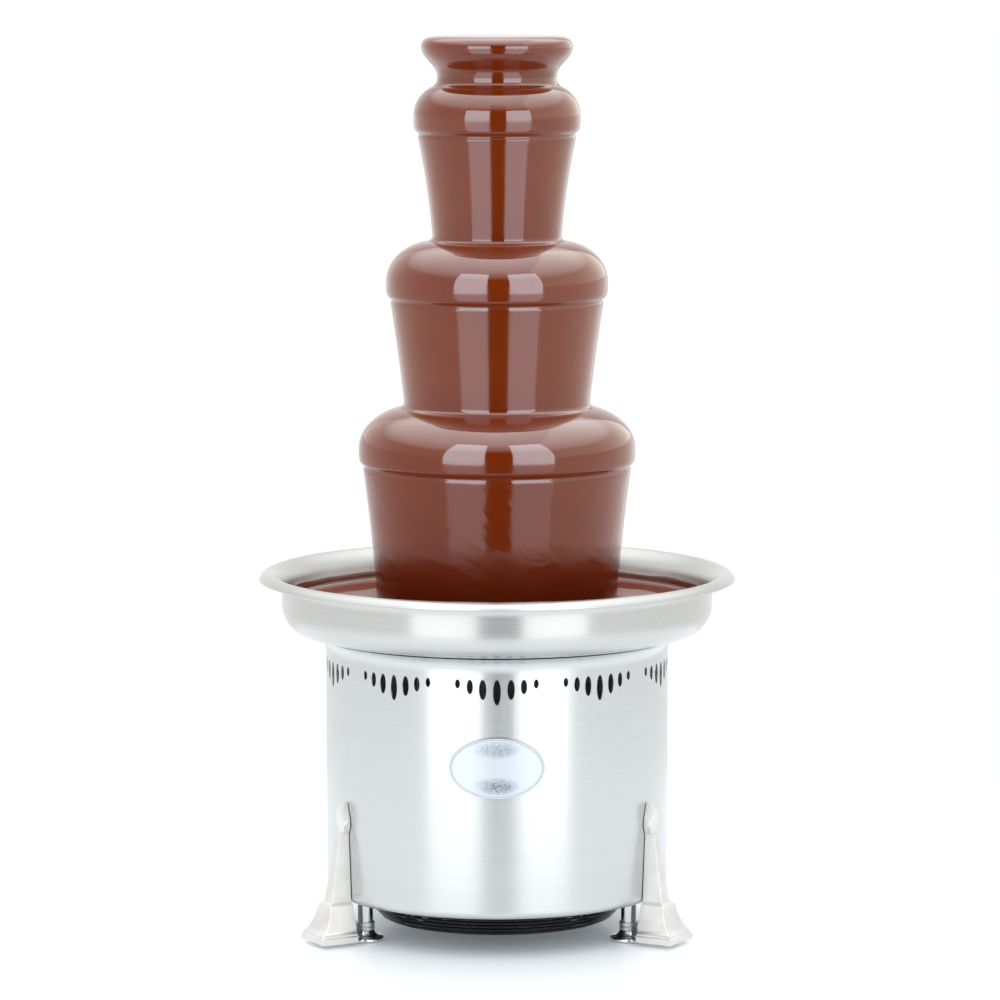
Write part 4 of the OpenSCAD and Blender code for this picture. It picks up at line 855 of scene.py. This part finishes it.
def inlet():
    """A flanged socket with a hollow for the plug."""
    socket = prism("inlet_socket", panel_line(30.5, 22.5, TRAY_Y, 3, 3), (0, 2, 0))
    cut(socket, prism("shroud", panel_line(26.9, 18.9, 77, 1.5, 1.5), (0, 19.5, 0)), "UNION")
    cut(socket, prism("hollow", panel_line(24.5, 16.5, 81, 1.0, 4.5), (0, 18, 0)))
    return settle(rounded(socket, 0.35, 60), (INLET_X, 0, TRAY_Z))


def blades():
    """Three rounded blades in the socket."""
    made = []
    for x, z in ((-7, -2), (0, 2), (7, -2)):
        blade = prism("blade", panel_line(2, 4, 80.9, 0.3, 0.3), (0, 11, 0))
        made.append(settle(rounded(blade, 0.3, 60), (INLET_X + x, 0, TRAY_Z + z)))
    return joined("inlet_blades", made)


place(knob(), "knob", "knob_black", knob_black, "thermostat_knob")
place(knob_line(), "knob", "wire_sleeve", wire_sleeve)
for use, x, slot, shade in (("motor", -6, "rocker_black", rocker_black),
                            ("heat", 12, "rocker_red", rocker_red)):
    place(rocker(f"{use}_rocker_cap", x), f"{use}_switch", slot, shade, f"{use}_rocker")
    place(rocker_marks(f"{use}_marks", x), f"{use}_switch", "wire_sleeve", wire_sleeve)
place(lamp_lens(), "base", "lamp_red", lamp_red, "indicator_lamp")
place(inlet(), "base", "device_plastic", device_plastic, "power_inlet")
place(blades(), "base", "machined_steel", machined_steel)


# Finishes of the solids that stay as they are

FINISHES = {"chocolate": chocolate, "housing_steel": housing_steel, "basin_steel": basin_steel,
            "sheet_steel": sheet_steel, "satin_nickel": satin_nickel, "foot_chrome": foot_chrome,
            "zinc": zinc, "guard_black": guard_black, "plate_silver": plate_silver, "auger_steel": auger_steel,
            "machined_steel": machined_steel, "motor_iron": motor_iron, "copper_wire": copper_wire,
            "cast_alloy": cast_alloy, "fan_plastic": fan_plastic, "element_metal": element_metal,
            "device_plastic": device_plastic, "rocker_black": rocker_black, "rocker_red": rocker_red,
            "knob_black": knob_black, "lamp_red": lamp_red, "seal_rubber": seal_rubber,
            "wire_sleeve": wire_sleeve}
for part in frame["record"]["subparts"]:
    solid = frame["nodes"][part["node"]]
    solid.data.materials.clear()
    solid.data.materials.append(FINISHES[part["material_slot"]])
# The top deck takes the painted shade steel.
frame["nodes"]["top_deck"].data.materials[0] = painted_shade_deck


# Studio

def floor():
    """A round white sweep that keeps the shadow under the fountain."""
    bpy.ops.object.select_all(action="DESELECT")
    bpy.ops.mesh.primitive_circle_add(vertices=128, radius=0.6, fill_type="NGON")
    sweep = bpy.context.object
    sweep.name = "floor"
    f = finish("floor_white")
    whole = f.where()
    tooth = f.noise(whole, 900.0, 2.0)
    f.surface(Base_Color=f.blend(tooth, (0.91, 0.93, 0.94, 1), (0.94, 0.96, 0.97, 1)),
              Roughness=0.32, Emission_Color=(0.8, 0.94, 1.0, 1), Emission_Strength=0.13)
    sweep.data.materials.append(f.owner)
    sweep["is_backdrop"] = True
    return sweep


def panel(name, size, shine, only_for, lights, colour):
    """A panel that either shows in what shines or lights it; most are for a few pieces only."""
    lamp = bpy.data.lights.new(name, "AREA")
    lamp.shape = "RECTANGLE"
    lamp.size, lamp.size_y = size
    lamp.energy = shine * math.pi * size[0] * size[1]
    lamp.color = colour
    box = bpy.data.objects.new(name, lamp)
    bpy.context.scene.collection.objects.link(box)
    box.visible_camera = False
    box.visible_diffuse, box.visible_glossy = lights, not lights
    if only_for:
        box.light_linking.receiver_collection = only_for
    return box


def softbox(name, turn, size, lift, shine, only_for=None, lights=False, colour=PLAIN, away=PANEL_AWAY):
    """An upright panel that faces the fountain, turned round it from the front."""
    box = panel(name, size, shine, only_for, lights, colour)
    a = math.radians(turn)
    box.location = (away * math.sin(a), -away * math.cos(a), lift)
    box.rotation_euler = (math.radians(90), 0, a)


def overhead(name, shine, only_for, lights=False, fan=126):
    """A wide panel above the fountain, which faces down and fans out by an angle."""
    box = panel(name, (OVERHEAD_SIZE, OVERHEAD_SIZE), shine, only_for, lights, PLAIN)
    box.location = (0, 0, OVERHEAD_Z)
    box.data.spread = math.radians(fan)


def surroundings():
    """White all round, with a dark slot behind the camera; a plain level for what they light."""
    world = bpy.data.worlds.new("studio")
    bpy.context.scene.world = world
    f = Finish(world)
    camera_ray, glossy, through = (f.node("ShaderNodeLightPath", output=f"Is {kind} Ray")
                                   for kind in ("Camera", "Glossy", "Transmission"))
    way = f.where("Generated")
    x, y, z = (f.axis(way, number) for number in range(3))
    ahead = f.fit(y, -0.35, -0.2, 1.0, 0.0)
    side = f.absolute(x / (y - 0.0001) + 0.03)
    slot = f.fit(side, 0.19, 0.25, 1.0, 0.0) * ahead * f.fit(z, 0.7, 0.82, 1.0, 0.0) * glossy
    shown = camera_ray.maths("MAXIMUM", camera_ray.maths("MAXIMUM", camera_ray, glossy), through)
    level = shown * (1 - LEVEL) + LEVEL
    back = f.tree.nodes["Background"]
    back.inputs["Color"].default_value = (1, 1, 1, 1)
    f.feed(back.inputs["Strength"], level * (1 - slot))


surroundings()
coats, soft, metals, ground = (bpy.data.collections.new(name)
                               for name in ("coats", "soft_metals", "metals", "ground"))
tiers = {name: bpy.data.collections.new(f"{name}_tier") for name in ("bottom", "middle", "top")}
ground.objects.link(floor())
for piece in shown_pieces():
    shine = piece.data.materials[0]
    soft_shine = shine in (basin_steel, satin_nickel, plate_silver)
    group = coats if shine == chocolate else soft if soft_shine else metals
    group.objects.link(piece)
for name, piece in (("bottom", "bottom_coat"), ("bottom", "pool"), ("middle", "middle_coat"),
                    ("top", "top_coat"), ("top", "crown_coat")):
    tiers[name].objects.link(bpy.data.objects[piece])

# Two windows at the front: lowest and highest point of the bright part, and how bright the part below is
WINDOWS = {"bottom": (0.14, 2.29, 1.1), "middle": (0.25, 1.85, 2.3), "top": (0.46, 1.25, 2.9)}
WINDOW_SHINE = 7.0
LOW_PART = 1.3
for side, turn in (("left", -27), ("right", 30)):
    softbox(f"{side}_softbox", turn, (PANEL_WIDTH, 3.2), 0.6, 1.35, metals)
    softbox(f"{side}_soft", turn, (PANEL_WIDTH, 5.2), -0.4, 0.75, soft)
    for name, (low, high, dim) in WINDOWS.items():
        softbox(f"{side}_{name}_glint", turn, (PANEL_WIDTH, high - low), (high + low) / 2, WINDOW_SHINE,
                tiers[name], colour=COOL)
        softbox(f"{side}_{name}_low_glint", turn, (PANEL_WIDTH, LOW_PART), low - LOW_PART / 2, dim,
                tiers[name], colour=COOL)
    softbox(f"{side}_fill", turn, (PANEL_WIDTH, 2.0), 1.1, 0.5, lights=True, away=1.6)
softbox("middle_softbox", 1.5, (0.66, 3.2), 0.6, 0.4, metals)
softbox("middle_soft", 1.5, (0.66, 2.5), 0.95, 0.6, soft)

# Wide, faint panels at the sides and above
LOW_VEILS = {"left": {"middle": 0.3, "top": 0.5}, "right": {"bottom": 0.4, "middle": 0.5, "top": 0.6}}
VEIL_WIDTH = 4.6
for side, turn, high in (("left", -103, 0.3), ("right", 103, 1.2)):
    for name, shine in LOW_VEILS[side].items():
        softbox(f"{side}_{name}_low_veil", turn, (VEIL_WIDTH, 1.5), -0.25, shine, tiers[name], colour=WARM)
    softbox(f"{side}_high_veil", turn, (VEIL_WIDTH, 3.2), 2.1, high, coats, colour=WARM)
    softbox(f"{side}_glow", turn * 0.78, (1.8, 2.2), 1.0, 0.7, coats, lights=True)
overhead("top_veil", 2.4, coats)
overhead("top_glow", 1.2, coats, lights=True)
overhead("top_soft", 0.45, soft)
overhead("floor_light", 0.7, ground, lights=True, fan=170)

camera_data = bpy.data.cameras.new("camera")
camera_data.lens, camera_data.sensor_width = 178.2, 36.0
camera = bpy.data.objects.new("camera", camera_data)
camera.location = (0.00195, -3.2, 0.6612)
camera.rotation_euler = (math.radians(90 - 6.772), 0, 0)
bpy.context.scene.collection.objects.link(camera)
bpy.context.scene.camera = camera
bpy.context.scene.view_settings.view_transform = "Standard"
